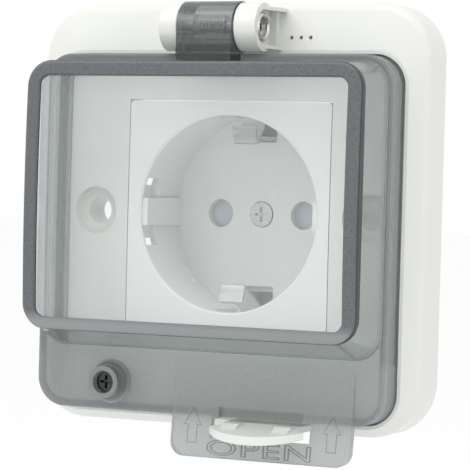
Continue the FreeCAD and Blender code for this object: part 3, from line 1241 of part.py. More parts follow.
for item in doc.Objects:
    if "Invalid" in item.State or "Error" in item.State:
        raise ValueError(f"{item.Label} failed: {item.State}")
for item in parts:
    if item.Shape.isNull() or not item.Shape.isValid():
        raise ValueError(f"{item.Label} has no valid shape")

os.makedirs("parts", exist_ok=True)
for item in parts:
    item.Shape.exportStep(f"parts/{item.Label}.step")
    print(item.Label, len(item.Shape.Solids), round(item.Shape.Volume, 1))
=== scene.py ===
"""Weatherproof wall socket in a white studio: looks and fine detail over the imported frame.

Lengths are in metres, or in millimetres where a name ends in _mm or a class says so. X runs right,
Z up, and the front faces -Y.
"""

import logging
import math
from dataclasses import dataclass, field
from enum import Enum

import bmesh
import bpy
from mathutils import Matrix, Vector


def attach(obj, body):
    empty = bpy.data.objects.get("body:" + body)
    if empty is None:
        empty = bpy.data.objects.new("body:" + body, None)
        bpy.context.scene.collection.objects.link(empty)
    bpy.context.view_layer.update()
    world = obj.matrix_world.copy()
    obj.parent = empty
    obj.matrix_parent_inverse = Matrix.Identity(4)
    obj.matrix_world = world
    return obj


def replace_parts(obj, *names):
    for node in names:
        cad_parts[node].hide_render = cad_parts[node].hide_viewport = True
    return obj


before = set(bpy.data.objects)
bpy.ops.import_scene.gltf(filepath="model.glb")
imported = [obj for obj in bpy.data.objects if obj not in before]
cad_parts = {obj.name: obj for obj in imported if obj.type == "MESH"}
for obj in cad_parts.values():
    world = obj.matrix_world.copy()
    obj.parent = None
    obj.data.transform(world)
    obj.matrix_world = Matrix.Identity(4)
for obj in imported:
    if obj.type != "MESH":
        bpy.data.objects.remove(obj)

log = logging.getLogger("wall_socket")
MM = 0.001
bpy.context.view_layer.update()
NOISE_LOW, NOISE_HIGH = 0.3, 0.7

Colour = tuple[float, float, float]


class Ray(Enum):
    """Outputs of Blender's Light Path node that this scene asks for."""

    CAMERA = "Is Camera Ray"
    SHADOW = "Is Shadow Ray"
    DIFFUSE = "Is Diffuse Ray"


class NodeTree:
    """A thin hand on a node tree: adds nodes by type and joins sockets by name."""

    def __init__(self, tree: bpy.types.NodeTree) -> None:
        """Keep the tree.

        Args:
            tree: The tree to add to.
        """
        self.tree = tree

    def add(self, kind: str, settings: dict | None = None, **sockets: object) -> bpy.types.Node:
        """Add a node.

        Args:
            kind: Node type without its ShaderNode prefix, or with NodeGroup in front.
            settings: Node properties to set.
            sockets: Input names, with underscores for spaces, and their values or source sockets.

        Returns:
            The new node.
        """
        prefix = "" if kind.startswith("NodeGroup") else "ShaderNode"
        node = self.tree.nodes.new(prefix + kind)
        for name, value in (settings or {}).items():
            setattr(node, name, value)
        for name, value in sockets.items():
            self.feed(node, name.replace("_", " "), value)
        return node

    def feed(self, node: bpy.types.Node, name: str | int, value: object) -> None:
        """Set an input to a value or join it to a source socket.

        Args:
            node: The node with the input.
            name: The input's name or index.
            value: A plain value or an output socket.
        """
        if isinstance(value, bpy.types.NodeSocket):
            self.tree.links.new(value, node.inputs[name])
        else:
            node.inputs[name].default_value = value

    def math(self, operation: str, *values: object, clamp: bool = False) -> bpy.types.NodeSocket:
        """Work out one math operation.

        Args:
            operation: The operation's name.
            values: Its inputs in order, as numbers or sockets.
            clamp: Whether the result stays between 0 and 1.

        Returns:
            The result's output.
        """
        node = self.add("Math", {"operation": operation, "use_clamp": clamp})
        for index, value in enumerate(values):
            self.feed(node, index, value)
        return node.outputs[0]

    def scale(self, colour: object, factor: object) -> bpy.types.NodeSocket:
        """Scale a colour.

        Args:
            colour: The colour's socket.
            factor: The factor's socket or value.

        Returns:
            The scaled colour's output.
        """
        node = self.add("VectorMath", {"operation": "SCALE"})
        self.feed(node, 0, colour)
        self.feed(node, "Scale", factor)
        return node.outputs[0]

    def blend(self, kind: str, mask: object, near: object, far: object) -> bpy.types.NodeSocket:
        """Blend two values or colours by a mask.

        Args:
            kind: Data type of the mix node.
            mask: Share of the second one.
            near: The first value, colour or socket.
            far: The second one.

        Returns:
            The blended output.
        """
        node = self.add("Mix", {"data_type": kind})
        first = 2 if kind == "FLOAT" else 6
        for index, value in ((0, mask), (first, near), (first + 1, far)):
            self.feed(node, index, value)
        return node.outputs[0 if kind == "FLOAT" else 2]


def new_group(name: str, inputs: dict[str, float | tuple], outputs: dict[str, str]) -> tuple:
    """Start a shader node group.

    Args:
        name: The group's name.
        inputs: Input names and their default values; a tuple makes a colour input.
        outputs: Output names and their socket types.

    Returns:
        The node tree hand, the group's input node and its output node.
    """
    tree = bpy.data.node_groups.new(name, "ShaderNodeTree")
    for label, value in inputs.items():
        kind = "NodeSocketColor" if isinstance(value, tuple) else "NodeSocketFloat"
        socket = tree.interface.new_socket(label, in_out="INPUT", socket_type=kind)
        socket.default_value = value
    for label, kind in outputs.items():
        tree.interface.new_socket(label, in_out="OUTPUT", socket_type=kind)
    hand = NodeTree(tree)
    return hand, hand.add("NodeGroupInput"), hand.add("NodeGroupOutput")


@dataclass(frozen=True)
class LidPlaces:
    """Where the lid's finishes, painted shade and painted reflection change, in millimetres of the shared
    frame.
    """

    flange_front: float = -18.0
    flange_back: float = -15.9
    skirt_front: float = -16.0
    skirt_full: float = -15.7
    skirt_top: float = 33.5
    tab_top: float = -28.2
    tab_full: float = -29.0
    barrel_low: float = 33.0
    barrel_full: float = 34.0
    barrel_frost: float = 0.12
    boss_across: float = -21.1
    boss_height: float = -34.8
    boss_radius: float = 4.05
    boss_front: float = -21.5
    boss_back: float = -18.1
    low_bar_top: float = -20.5
    low_bar_full: float = -22.5
    edge: float = 0.05


PLACES = LidPlaces()


class SurfaceGroups:
    """Shader node groups that several finishes share, built once."""

    def __init__(self) -> None:
        """Build the groups."""
        self.moulded = self._build_moulded()
        self.drawn_metal = self._build_drawn_metal()
        self.pebbled = self._build_pebbled()
        self.lid_zones = self._build_lid_zones()

    @staticmethod
    def _build_moulded() -> bpy.types.NodeTree:
        """Build the surface of moulded plastic: faint flow marks and a fine eroded grain.

        Returns:
            The group's tree.
        """
        hand, given, out = new_group(
            "moulded_surface",
            {"Colour": (1.0, 1.0, 1.0, 1.0), "Mottling": 0.02, "Roughness": 0.3, "Grain Scale": 4000.0},
            {"Colour": "NodeSocketColor", "Roughness": "NodeSocketFloat", "Height": "NodeSocketFloat"},
        )
        place = hand.add("TexCoord").outputs["Object"]
        flow = hand.add("TexNoise", Vector=place, Scale=55.0, Detail=3.0, Roughness=0.55)
        shade = hand.add("MapRange", Value=flow.outputs["Fac"], From_Min=NOISE_LOW, From_Max=NOISE_HIGH)
        hand.feed(shade, "To Min", hand.math("SUBTRACT", 1.0, given.outputs["Mottling"]))
        grain = hand.add("TexNoise", Vector=place, Detail=2.0, Roughness=0.6)
        hand.feed(grain, "Scale", given.outputs["Grain Scale"])
        smear = hand.add("TexNoise", Vector=place, Scale=130.0, Detail=4.0)
        spread = hand.add("MapRange", Value=smear.outputs["Fac"], From_Min=NOISE_LOW, From_Max=NOISE_HIGH,
                          To_Min=0.85, To_Max=1.15)
        rough = hand.math("MULTIPLY", given.outputs["Roughness"], spread.outputs[0], clamp=True)
        hand.feed(out, "Colour", hand.scale(given.outputs["Colour"], shade.outputs[0]))
        hand.feed(out, "Roughness", rough)
        hand.feed(out, "Height", grain.outputs["Fac"])
        return hand.tree

    @staticmethod
    def _build_drawn_metal() -> bpy.types.NodeTree:
        """Build drawn or plated metal: long streaks, small spots of duller plating.

        Returns:
            The group's tree.
        """
        hand, given, out = new_group(
            "drawn_metal",
            {"Colour": (0.6, 0.6, 0.6, 1.0), "Roughness": 0.3, "Streak Scale": 900.0},
            {"Colour": "NodeSocketColor", "Roughness": "NodeSocketFloat", "Height": "NodeSocketFloat"},
        )
        place = hand.add("TexCoord").outputs["Object"]
        stretch = hand.add("Mapping", Vector=place, Scale=(0.06, 1.0, 1.0))
        streak = hand.add("TexNoise", Vector=stretch.outputs[0], Detail=3.0, Roughness=0.6)
        hand.feed(streak, "Scale", given.outputs["Streak Scale"])
        spots = hand.add("TexNoise", Vector=place, Scale=420.0, Detail=4.0, Roughness=0.7)
        dull = hand.add("MapRange", Value=spots.outputs["Fac"], From_Min=0.45, From_Max=0.75,
                        To_Min=1.0, To_Max=0.86)
        spread = hand.add("MapRange", Value=streak.outputs["Fac"], From_Min=NOISE_LOW, From_Max=NOISE_HIGH,
                          To_Min=0.75, To_Max=1.35)
        rough = hand.math("MULTIPLY", given.outputs["Roughness"], spread.outputs[0], clamp=True)
        hand.feed(out, "Colour", hand.scale(given.outputs["Colour"], dull.outputs[0]))
        hand.feed(out, "Roughness", rough)
        hand.feed(out, "Height", streak.outputs["Fac"])
        return hand.tree

    @staticmethod
    def _build_pebbled() -> bpy.types.NodeTree:
        """Build the pebbled spark grain of the window frame.

        Returns:
            The group's tree.
        """
        hand, given, out = new_group(
            "pebbled_grain",
            {"Colour": (0.1, 0.1, 0.1, 1.0), "Light Colour": (0.2, 0.2, 0.2, 1.0), "Scale": 2600.0},
            {"Colour": "NodeSocketColor", "Height": "NodeSocketFloat"},
        )
        place = hand.add("TexCoord").outputs["Object"]
        pebble = hand.add("TexVoronoi", {"feature": "SMOOTH_F1"}, Vector=place, Smoothness=0.6,
                          Randomness=1.0)
        hand.feed(pebble, "Scale", given.outputs["Scale"])
        fine = hand.add("TexNoise", Vector=place, Scale=5200.0, Detail=2.0)
        bumps = hand.math("MULTIPLY_ADD", fine.outputs["Fac"], 0.35, pebble.outputs["Distance"])
        worn = hand.add("MapRange", Value=bumps, From_Min=0.25, From_Max=0.85)
        tint = hand.blend("RGBA", worn.outputs[0], given.outputs["Light Colour"], given.outputs["Colour"])
        hand.feed(out, "Colour", tint)
        hand.feed(out, "Height", bumps)
        return hand.tree

    @staticmethod
    def _build_lid_zones() -> bpy.types.NodeTree:
        """Build masks over the lid: frosted flange and tab, the lock boss and the skirt where shade is
        painted, and the frost's grain.

        Returns:
            The group's tree.
        """
        hand, _, out = new_group("lid_zones", {}, dict.fromkeys(("Frosted", "Boss", "Skirt", "Grain"),
                                                                "NodeSocketFloat"))
        place = hand.add("TexCoord").outputs["Object"]
        parts = hand.add("SeparateXYZ", Vector=place)
        depth, height = parts.outputs["Y"], parts.outputs["Z"]
        at = PLACES
        flange = hand.math("COMPARE", depth, (at.flange_front + at.flange_back) / 2 * MM,
                           (at.flange_back - at.flange_front) / 2 * MM)
        tab = hand.add("MapRange", Value=height, From_Min=at.tab_top * MM, From_Max=at.tab_full * MM)
        barrel = hand.add("MapRange", Value=height, From_Min=at.barrel_low * MM,
                          From_Max=at.barrel_full * MM, To_Max=at.barrel_frost)
        low_frost = hand.math("MAXIMUM", flange, tab.outputs[0], clamp=True)
        frosted = hand.math("MAXIMUM", low_frost, barrel.outputs[0], clamp=True)
        across = hand.add("CombineXYZ", X=parts.outputs["X"], Z=height)
        reach = hand.add("VectorMath", {"operation": "DISTANCE"})
        hand.feed(reach, 0, across.outputs[0])
        hand.feed(reach, 1, (at.boss_across * MM, 0.0, at.boss_height * MM))
        near = hand.add("MapRange", Value=reach.outputs["Value"], From_Min=(at.boss_radius + at.edge) * MM,
                        From_Max=(at.boss_radius - at.edge) * MM)
        raised = hand.math("COMPARE", depth, (at.boss_front + at.boss_back) / 2 * MM,
                           (at.boss_back - at.boss_front) / 2 * MM)
        behind = hand.add("MapRange", Value=depth, From_Min=at.skirt_front * MM, From_Max=at.skirt_full * MM)
        below = hand.add("MapRange", Value=height, From_Min=(at.skirt_top + at.edge) * MM,
                         From_Max=(at.skirt_top - at.edge) * MM)
        speck = hand.add("TexNoise", Vector=place, Scale=3600.0, Detail=2.0)
        grain = hand.add("MapRange", Value=speck.outputs["Fac"], From_Min=NOISE_LOW, From_Max=NOISE_HIGH,
                         To_Min=0.7, To_Max=1.3)
        hand.feed(out, "Frosted", frosted)
        hand.feed(out, "Boss", hand.math("MULTIPLY", near.outputs[0], raised))
        hand.feed(out, "Skirt", hand.math("MULTIPLY", behind.outputs[0], below.outputs[0]))
        hand.feed(out, "Grain", grain.outputs[0])
        return hand.tree


@dataclass(frozen=True)
class PlasticFinish:
    """Opaque moulded plastic."""

    name: str
    colour: Colour
    roughness: float
    mottling: float = 0.02
    grain_scale: float = 4000.0
    depth_mm: float = 0.02
    coat: float = 0.0
    relief: float = 0.35

    def build(self, groups: SurfaceGroups) -> bpy.types.Material:
        """Make the material.

        Args:
            groups: The shared node groups.

        Returns:
            The material.
        """
        material, hand, shader = new_material(self.name)
        group = hand.add("Group", {"node_tree": groups.moulded}, Colour=(*self.colour, 1.0),
                         Mottling=self.mottling, Roughness=self.roughness, Grain_Scale=self.grain_scale)
        bump = hand.add("Bump", Strength=self.relief, Distance=self.depth_mm * MM,
                        Height=group.outputs["Height"])
        hand.feed(shader, "Base Color", group.outputs["Colour"])
        hand.feed(shader, "Roughness", group.outputs["Roughness"])
        hand.feed(shader, "Normal", bump.outputs[0])
        hand.feed(shader, "Coat Weight", self.coat)
        return material


@dataclass(frozen=True)
class PebbledFinish:
    """Dark plastic with a pebbled grain, with painted shade on its sides and a paler painted reflection of
    the floor along its low bar.
    """

    name: str
    colour: Colour
    light_colour: Colour
    low_bar_painted_reflection: Colour
    side_painted_shade: Colour
    roughness: float
    scale: float
    depth_mm: float
    relief: float = 0.6
    painted_reflection_share: float = 0.8

    def build(self, groups: SurfaceGroups) -> bpy.types.Material:
        """Make the material.

        Args:
            groups: The shared node groups.

        Returns:
            The material.
        """
        material, hand, shader = new_material(self.name)
        group = hand.add("Group", {"node_tree": groups.pebbled}, Colour=(*self.colour, 1.0),
                         Light_Colour=(*self.light_colour, 1.0), Scale=self.scale)
        bump = hand.add("Bump", Strength=self.relief, Distance=self.depth_mm * MM,
                        Height=group.outputs["Height"])
        parts = hand.add("SeparateXYZ", Vector=hand.add("TexCoord").outputs["Object"])
        # Painted reflection: the low bar turns paler, as if it mirrored the pale floor in front of it.
        low = hand.add("MapRange", Value=parts.outputs["Z"], From_Min=PLACES.low_bar_top * MM,
                       From_Max=PLACES.low_bar_full * MM, To_Max=self.painted_reflection_share)
        with_painted_reflection = hand.blend("RGBA", low.outputs[0], group.outputs["Colour"], (*self.low_bar_painted_reflection, 1.0))
        # Painted shade: faces that turn away from the front take a darker colour.
        facing = hand.add("SeparateXYZ", Vector=hand.add("TexCoord").outputs["Normal"])
        face = hand.add("MapRange", Value=facing.outputs["Y"], From_Min=-0.45, From_Max=-0.75)
        side_shaded = hand.blend("RGBA", face.outputs[0], (*self.side_painted_shade, 1.0), with_painted_reflection)
        hand.feed(shader, "Base Color", side_shaded)
        hand.feed(shader, "Roughness", self.roughness)
        hand.feed(shader, "Normal", bump.outputs[0])
        return material


@dataclass(frozen=True)
class MetalFinish:
    """Drawn, plated or turned metal."""

    name: str
    colour: Colour
    roughness: float
    streak_scale: float = 900.0
    depth_mm: float = 0.01
    relief: float = 0.15

    def build(self, groups: SurfaceGroups) -> bpy.types.Material:
        """Make the material.

        Args:
            groups: The shared node groups.

        Returns:
            The material.
        """
        material, hand, shader = new_material(self.name)
        group = hand.add("Group", {"node_tree": groups.drawn_metal}, Colour=(*self.colour, 1.0),
                         Roughness=self.roughness, Streak_Scale=self.streak_scale)
        bump = hand.add("Bump", Strength=self.relief, Distance=self.depth_mm * MM,
                        Height=group.outputs["Height"])
        hand.feed(shader, "Base Color", group.outputs["Colour"])
        hand.feed(shader, "Roughness", group.outputs["Roughness"])
        hand.feed(shader, "Metallic", 1.0)
        hand.feed(shader, "Normal", bump.outputs[0])
        return material


@dataclass(frozen=True)
class ClearFinish:
    """Clear or smoke plastic that light passes through, with an even veil of haze.

    With a frosted roughness, the flange and the tab are frosted, and the skirt and the boss get painted
    shade: a darker colour for light lost through thick smoke plastic seen edge-on.
    """

    name: str
    tint: Colour
    shadow_tint: Colour
    roughness: float
    frosted_roughness: float | None = None
    depth_colour: Colour = (1.0, 1.0, 1.0)
    density: float = 0.0
    haze: float = 0.0
    even_share: float = 1 / 3
    haze_colour: Colour = (0.5, 0.52, 0.52)
    boss_painted_shade: Colour = (0.32, 0.33, 0.33)
    skirt_painted_shade: Colour = (0.52, 0.535, 0.53)
    ior: float = 1.49
    grain_scale: float = 1500.0
    depth_mm: float = 0.004
    relief: float = 0.3

    def build(self, groups: SurfaceGroups) -> bpy.types.Material:
        """Make the material.

        Args:
            groups: The shared node groups.

        Returns:
            The material.
        """
        material, hand, shader = new_material(self.name)
        group = hand.add("Group", {"node_tree": groups.moulded}, Colour=(*self.tint, 1.0),
                         Mottling=0.01, Roughness=self.roughness, Grain_Scale=self.grain_scale)
        bump = hand.add("Bump", Strength=self.relief, Distance=self.depth_mm * MM,
                        Height=group.outputs["Height"])
        colour, rough, surface = group.outputs["Colour"], group.outputs["Roughness"], shader.outputs[0]
        if self.frosted_roughness is not None:
            zones = hand.add("Group", {"node_tree": groups.lid_zones}).outputs
            rough = hand.blend("FLOAT", zones["Frosted"], rough, self.frosted_roughness)
            # Painted shade: the skirt's edge-on walls are darkened.
            colour = hand.blend("RGBA", zones["Skirt"], colour, (*self.skirt_painted_shade, 1.0))
            # Painted shade: the lock boss is darkened, and so is the haze over it.
            colour = hand.blend("RGBA", zones["Boss"], colour, (*self.boss_painted_shade, 1.0))
            haze_and_boss_shade = hand.blend("RGBA", zones["Boss"], (*self.haze_colour, 1.0), (*self.boss_painted_shade, 1.0))
            veil = hand.add("BsdfDiffuse", Color=hand.scale(haze_and_boss_shade, zones["Grain"]))
            share = hand.math("MULTIPLY_ADD", zones["Frosted"], self.haze, self.haze * self.even_share)
            surface = self._mix(hand, share, surface, veil.outputs[0])
        elif self.haze:
            veil = hand.add("BsdfDiffuse", Color=(*self.haze_colour, 1.0))
            surface = self._mix(hand, self.haze, surface, veil.outputs[0])
        hand.feed(shader, "Base Color", colour)
        hand.feed(shader, "Roughness", rough)
        hand.feed(shader, "Normal", bump.outputs[0])
        hand.feed(shader, "Transmission Weight", 1.0)
        hand.feed(shader, "IOR", self.ior)
        clear = hand.add("BsdfTransparent", Color=(*self.shadow_tint, 1.0))
        path = hand.add("LightPath")
        soft = hand.math("MAXIMUM", path.outputs[Ray.SHADOW.value], path.outputs[Ray.DIFFUSE.value])
        output = next(node for node in hand.tree.nodes if node.type == "OUTPUT_MATERIAL")
        hand.feed(output, "Surface", self._mix(hand, soft, surface, clear.outputs[0]))
        if self.density:
            depth = hand.add("VolumeAbsorption", Color=(*self.depth_colour, 1.0), Density=self.density)
            hand.feed(output, "Volume", depth.outputs[0])
        return material

    @staticmethod
    def _mix(hand: NodeTree, share: object, near: object, far: object) -> bpy.types.NodeSocket:
        """Mix two shaders.

        Args:
            hand: A hand on the material's nodes.
            share: Share of the second shader.
            near: The first shader's output.
            far: The second one's.

        Returns:
            The mixed shader's output.
        """
        node = hand.add("MixShader")
        for index, value in enumerate((share, near, far)):
            hand.feed(node, index, value)
        return node.outputs[0]


def new_material(name: str) -> tuple[bpy.types.Material, NodeTree, bpy.types.Node]:
    """Start a material.

    Args:
        name: The material's name.

    Returns:
        The material, a hand on its nodes, and its Principled BSDF.
    """
    material = bpy.data.materials.new(name)
    material.use_nodes = True
    hand = NodeTree(material.node_tree)
    shader = next(node for node in material.node_tree.nodes if node.type == "BSDF_PRINCIPLED")
    return material, hand, shader


FINISHES = {
    "white_plastic": PlasticFinish("satin_white", (0.705, 0.715, 0.68), 0.34, 0.012, 3500.0, 0.012),
    "socket_plastic": PlasticFinish("glossy_white", (0.79, 0.80, 0.78), 0.24, 0.01, 5000.0, 0.004, 0.2),
    "smoke_plastic": ClearFinish("smoke_clear", (0.73, 0.755, 0.75), (0.83, 0.845, 0.84), 0.10, 0.50,
                                 (0.45, 0.485, 0.485), 230.0, 0.24),
    "smoke_print": PlasticFinish("smoke_ridge", (0.22, 0.23, 0.235), 0.5),
    "clear_plastic": ClearFinish("window_clear", (0.985, 0.992, 0.992), (0.99, 0.995, 0.995), 0.0,
                                 haze=0.055, haze_colour=(0.80, 0.87, 0.92), depth_mm=0.0005),
    # The frame's third colour is a painted reflection of the floor on its low bar; the fourth is painted
    # shade on its sides.
    "frame_plastic": PebbledFinish("pebbled_grey", (0.086, 0.093, 0.099), (0.155, 0.165, 0.173),
                                   (0.27, 0.285, 0.29), (0.022, 0.023, 0.026), 0.36, 4200.0, 0.02),
    "block_plastic": PlasticFinish("moulded_grey", (0.80, 0.81, 0.80), 0.5, 0.04, 2500.0, 0.03),
    "shutter_plastic": PlasticFinish("blue_grey", (0.54, 0.58, 0.615), 0.4, 0.03),
    "seal_rubber": PlasticFinish("soft_silicone", (0.36, 0.37, 0.365), 0.6, 0.06, 1800.0, 0.03),
    "gasket_foam": PlasticFinish("cell_foam", (0.03, 0.03, 0.03), 0.9, 0.2, 1200.0, 0.15),
    "spring_steel": MetalFinish("drawn_wire", (0.60, 0.61, 0.62), 0.26),
    "plated_strip": MetalFinish("nickel_strip", (0.55, 0.55, 0.535), 0.55),
    "screw_steel": MetalFinish("zinc_plate", (0.62, 0.62, 0.61), 0.28, 600.0),
    # The lock screw is dark steel, dark enough that it also stands in for painted shade deep in the boss's
    # hole.
    "lock_steel": MetalFinish("dark_steel_and_hole_shade", (0.07, 0.07, 0.072), 0.22, 600.0),
    "contact_brass": MetalFinish("bare_brass", (0.62, 0.46, 0.20), 0.28),
}


class Workshop:
    """Keeps the built materials and puts them on pieces."""

    def __init__(self) -> None:
        """Build every finish once."""
        groups = SurfaceGroups()
        self.materials = {slot: finish.build(groups) for slot, finish in FINISHES.items()}

    def dress(self, node: str, slot: str) -> None:
        """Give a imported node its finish.

        Args:
            node: The node's name.
            slot: The record's material slot.
        """
        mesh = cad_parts[node].data
        mesh.materials.clear()
        mesh.materials.append(self.materials[slot])
        log.info("dressed %s as %s", node, slot)

    def finish(self, piece: bpy.types.Object, slot: str, body: str, look: str | None = None) -> None:
        """Give a new piece its finish and let it ride on a body.

        Args:
            piece: The new object.
            slot: The record's material slot.
            body: The body it moves with.
            look: The finish's own name, where it isn't the slot's.
        """
        piece.data.materials.clear()
        piece.data.materials.append(self.materials[look or slot])
        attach(piece, body)
        log.info("made %s for %s", piece.name, body)


def mesh_piece(name: str, shape: bmesh.types.BMesh, smooth: bool = True) -> bpy.types.Object:
    """Turn a bmesh into an object in the scene.

    Args:
        name: The object's name.
        shape: The bmesh, which is freed.
        smooth: Whether faces are shaded smooth.

    Returns:
        The object.
    """
    bmesh.ops.recalc_face_normals(shape, faces=shape.faces)
    mesh = bpy.data.meshes.new(name)
    shape.to_mesh(mesh)
    shape.free()
    for face in mesh.polygons:
        face.use_smooth = smooth
    piece = bpy.data.objects.new(name, mesh)
    bpy.context.scene.collection.objects.link(piece)
    return piece


def sweep_wire(name: str, points: list[Vector], radius: float, closed: bool = False) -> bmesh.types.BMesh:
    """Sweep round wire along points.

    Args:
        name: A name for the path.
        points: The points of its middle line.
        radius: The wire's radius.
        closed: Whether the wire runs back to its start.

    Returns:
        The wire as a bmesh.
    """
    curve = bpy.data.curves.new(name + "_path", "CURVE")
    curve.dimensions = "3D"
    curve.bevel_depth = radius
    curve.bevel_resolution = 2
    curve.use_fill_caps = not closed
    line = curve.splines.new("POLY")
    line.points.add(len(points) - 1)
    line.use_cyclic_u = closed
    for place, spot in zip(line.points, points):
        place.co = (*spot, 1.0)
    wire = bpy.data.objects.new(name + "_wire", curve)
    bpy.context.scene.collection.objects.link(wire)
    bpy.context.view_layer.update()
    shape = bmesh.new()
    shape.from_mesh(bpy.data.meshes.new_from_object(wire))
    bpy.data.objects.remove(wire)
    bmesh.ops.remove_doubles(shape, verts=shape.verts, dist=1e-7)
    return shape


@dataclass(frozen=True)
class Coil:
    """A spring coiled from round wire, in millimetres, which stands for the many-sided one of its node."""

    node: str
    start: Vector
    turn: Matrix
    radius: float
    wire: float
    pitch: float
    turns: float
    steps: int = 28

    def build(self) -> bpy.types.Object:
        """Make the coil.

        Returns:
            The coil, which replaces its node.
        """
        count = round(self.steps * self.turns)
        points = []
        for index in range(count + 1):
            angle = 2 * math.pi * self.turns * index / count
            spot = Vector((self.radius * math.cos(angle), self.radius * math.sin(angle),
                           self.pitch * angle / (2 * math.pi)))
            points.append((self.start + self.turn @ spot) * MM)
        shape = sweep_wire(self.node, points, self.wire * MM)
        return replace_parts(mesh_piece(self.node + "_round", shape), self.node)


ALONG_X = Matrix.Rotation(math.pi / 2, 3, "Y")
INTO_WALL = Matrix.Rotation(-math.pi / 2, 3, "X")


@dataclass
class TabMarks:
    """Raised outlines of the word OPEN and of two arrows on the opening tab."""

    foot: Vector = field(default_factory=lambda: Vector((0.0, -17.75, -29.4)) * MM)
    slope: float = math.atan2(2.5, 19.2)
    word_left: float = 1.9 * MM
    word_right: float = 24.3 * MM
    word_low: float = -47.95 * MM
    word_high: float = -44.95 * MM
    line: float = 0.08 * MM
    arrow_places: tuple[float, float] = (-1.6 * MM, 28.6 * MM)
    arrow_tip: float = -38.8 * MM
    arrow_head: float = -42.2 * MM
    arrow_foot: float = -45.8 * MM
    arrow_half: float = 1.85 * MM
    shaft_half: float = 1.0 * MM

    def on_tab(self, across: float, height: float) -> Matrix:
        """Give the place on the tab's face at a height.

        Args:
            across: X of the place.
            height: Z of the place.

        Returns:
            A matrix whose X runs right, Y up the face, and Z out of it.
        """
        run = (self.foot.z - height) * math.tan(self.slope)
        spot = Vector((across, self.foot.y - run, height))
        turn = Matrix.Rotation(math.pi / 2 - self.slope, 4, "X")
        return Matrix.Translation(spot) @ turn

    def build_word(self) -> bpy.types.Object:
        """Make the word's outlines as thin rounded ridges.

        Returns:
            The word.
        """
        curve = bpy.data.curves.new("tab_word", "FONT")
        curve.body = "OPEN"
        curve.fill_mode = "NONE"
        curve.resolution_u = 6
        curve.space_character = 1.08
        text = bpy.data.objects.new("tab_word_text", curve)
        bpy.context.scene.collection.objects.link(text)
        bpy.context.view_layer.update()
        flat = bpy.data.meshes.new_from_object(text)
        low = Vector((min(v.co.x for v in flat.vertices), min(v.co.y for v in flat.vertices)))
        high = Vector((max(v.co.x for v in flat.vertices), max(v.co.y for v in flat.vertices)))
        wide = (self.word_right - self.word_left) / (high.x - low.x)
        tall = (self.word_high - self.word_low) / (high.y - low.y)
        curve.bevel_depth = self.line / tall
        curve.bevel_resolution = 1
        bpy.context.view_layer.update()
        mesh = bpy.data.meshes.new_from_object(text)
        bpy.data.objects.remove(text)
        shape = bmesh.new()
        shape.from_mesh(mesh)
        bmesh.ops.remove_doubles(shape, verts=shape.verts, dist=1e-6)
        centre = Matrix.Translation((-(low.x + high.x) / 2, -low.y, 0.0))
        size = Matrix.Diagonal((wide, tall, tall * 0.8, 1.0))
        place = self.on_tab((self.word_left + self.word_right) / 2, self.word_low)
        bmesh.ops.transform(shape, matrix=place @ size @ centre, verts=shape.verts)
        return mesh_piece("tab_word", shape)

    def build_arrow(self, name: str, across: float) -> bpy.types.Object:
        """Make one arrow's outline as a thin rounded ridge.

        Args:
            name: The piece's name.
            across: X of the arrow's middle.

        Returns:
            The arrow.
        """
        total, head = self.arrow_tip - self.arrow_foot, self.arrow_head - self.arrow_foot
        outline = [(-self.shaft_half, 0), (self.shaft_half, 0), (self.shaft_half, head),
                   (self.arrow_half, head), (0, total), (-self.arrow_half, head), (-self.shaft_half, head)]
        place = self.on_tab(across, self.arrow_foot)
        points = [place @ Vector((x, y, 0.0)) for x, y in outline]
        return mesh_piece(name, sweep_wire(name, points, self.line, closed=True))

    def build(self, shop: Workshop) -> None:
        """Make and dress the marks.

        Args:
            shop: The workshop that dresses them.
        """
        shop.finish(self.build_word(), "smoke_plastic", "lid", "smoke_print")
        for name, across in zip(("tab_arrow_left", "tab_arrow_right"), self.arrow_places):
            shop.finish(self.build_arrow(name, across), "smoke_plastic", "lid", "smoke_print")


@dataclass
class Lid:
    """Smoke lid with its window, frame, lock screw and marks."""

    marks: TabMarks = field(default_factory=TabMarks)

    def build(self, shop: Workshop) -> None:
        """Dress the lid's nodes and add its marks.

        Args:
            shop: The workshop that dresses them.
        """
        shop.dress("lid_shell", "smoke_plastic")
        shop.dress("window_frame", "frame_plastic")
        shop.dress("window_pane", "clear_plastic")
        shop.dress("lock_screw", "lock_steel")
        self.marks.build(shop)


@dataclass(frozen=True)
class BackPlate:
    """White back plate with hinge, seals and latch."""

    hinge_coil: Coil = Coil("hinge_spring", Vector((-2.6, -17.6, 37.4)), ALONG_X, radius=2.15,
                            wire=0.3, pitch=0.75, turns=8.5)
    latch_coil: Coil = Coil("latch_spring", Vector((11.5, -4.7, -38.3)), ALONG_X, radius=1.55,
                            wire=0.2, pitch=0.55, turns=3.5)

    def build(self, shop: Workshop) -> None:
        """Dress the plate's nodes and wind its two springs.

        Args:
            shop: The workshop that dresses them.
        """
        shop.dress("base_frame", "white_plastic")
        shop.dress("latch", "white_plastic")
        shop.dress("hinge_pin", "screw_steel")
        shop.finish(self.hinge_coil.build(), "spring_steel", "plate")
        shop.dress("latch_pin", "spring_steel")
        shop.finish(self.latch_coil.build(), "spring_steel", "plate")
        shop.dress("lid_seal", "seal_rubber")
        shop.dress("rear_gasket", "gasket_foam")


@dataclass(frozen=True)
class SocketInsert:
    """Socket front with the round well, and the contact block behind it."""

    shutter_coil: Coil = Coil("shutter_spring", Vector((0.0, 13.05, 0.0)), INTO_WALL, radius=3.45,
                              wire=0.18, pitch=0.5, turns=2.0)

    def build(self, shop: Workshop) -> None:
        """Dress the insert's nodes and wind the shutter's spring.

        Args:
            shop: The workshop that dresses them.
        """
        shop.dress("socket_cover", "socket_plastic")
        shop.dress("centre_screw", "screw_steel")
        shop.dress("shutter", "shutter_plastic")
        shop.finish(self.shutter_coil.build(), "spring_steel", "plate")
        shop.dress("contact_block", "block_plastic")
        shop.dress("contact_left", "contact_brass")
        shop.dress("contact_right", "contact_brass")
        shop.dress("earth_strap", "plated_strip")
        shop.dress("terminal_screws", "screw_steel")
        shop.dress("clamp_plates", "plated_strip")


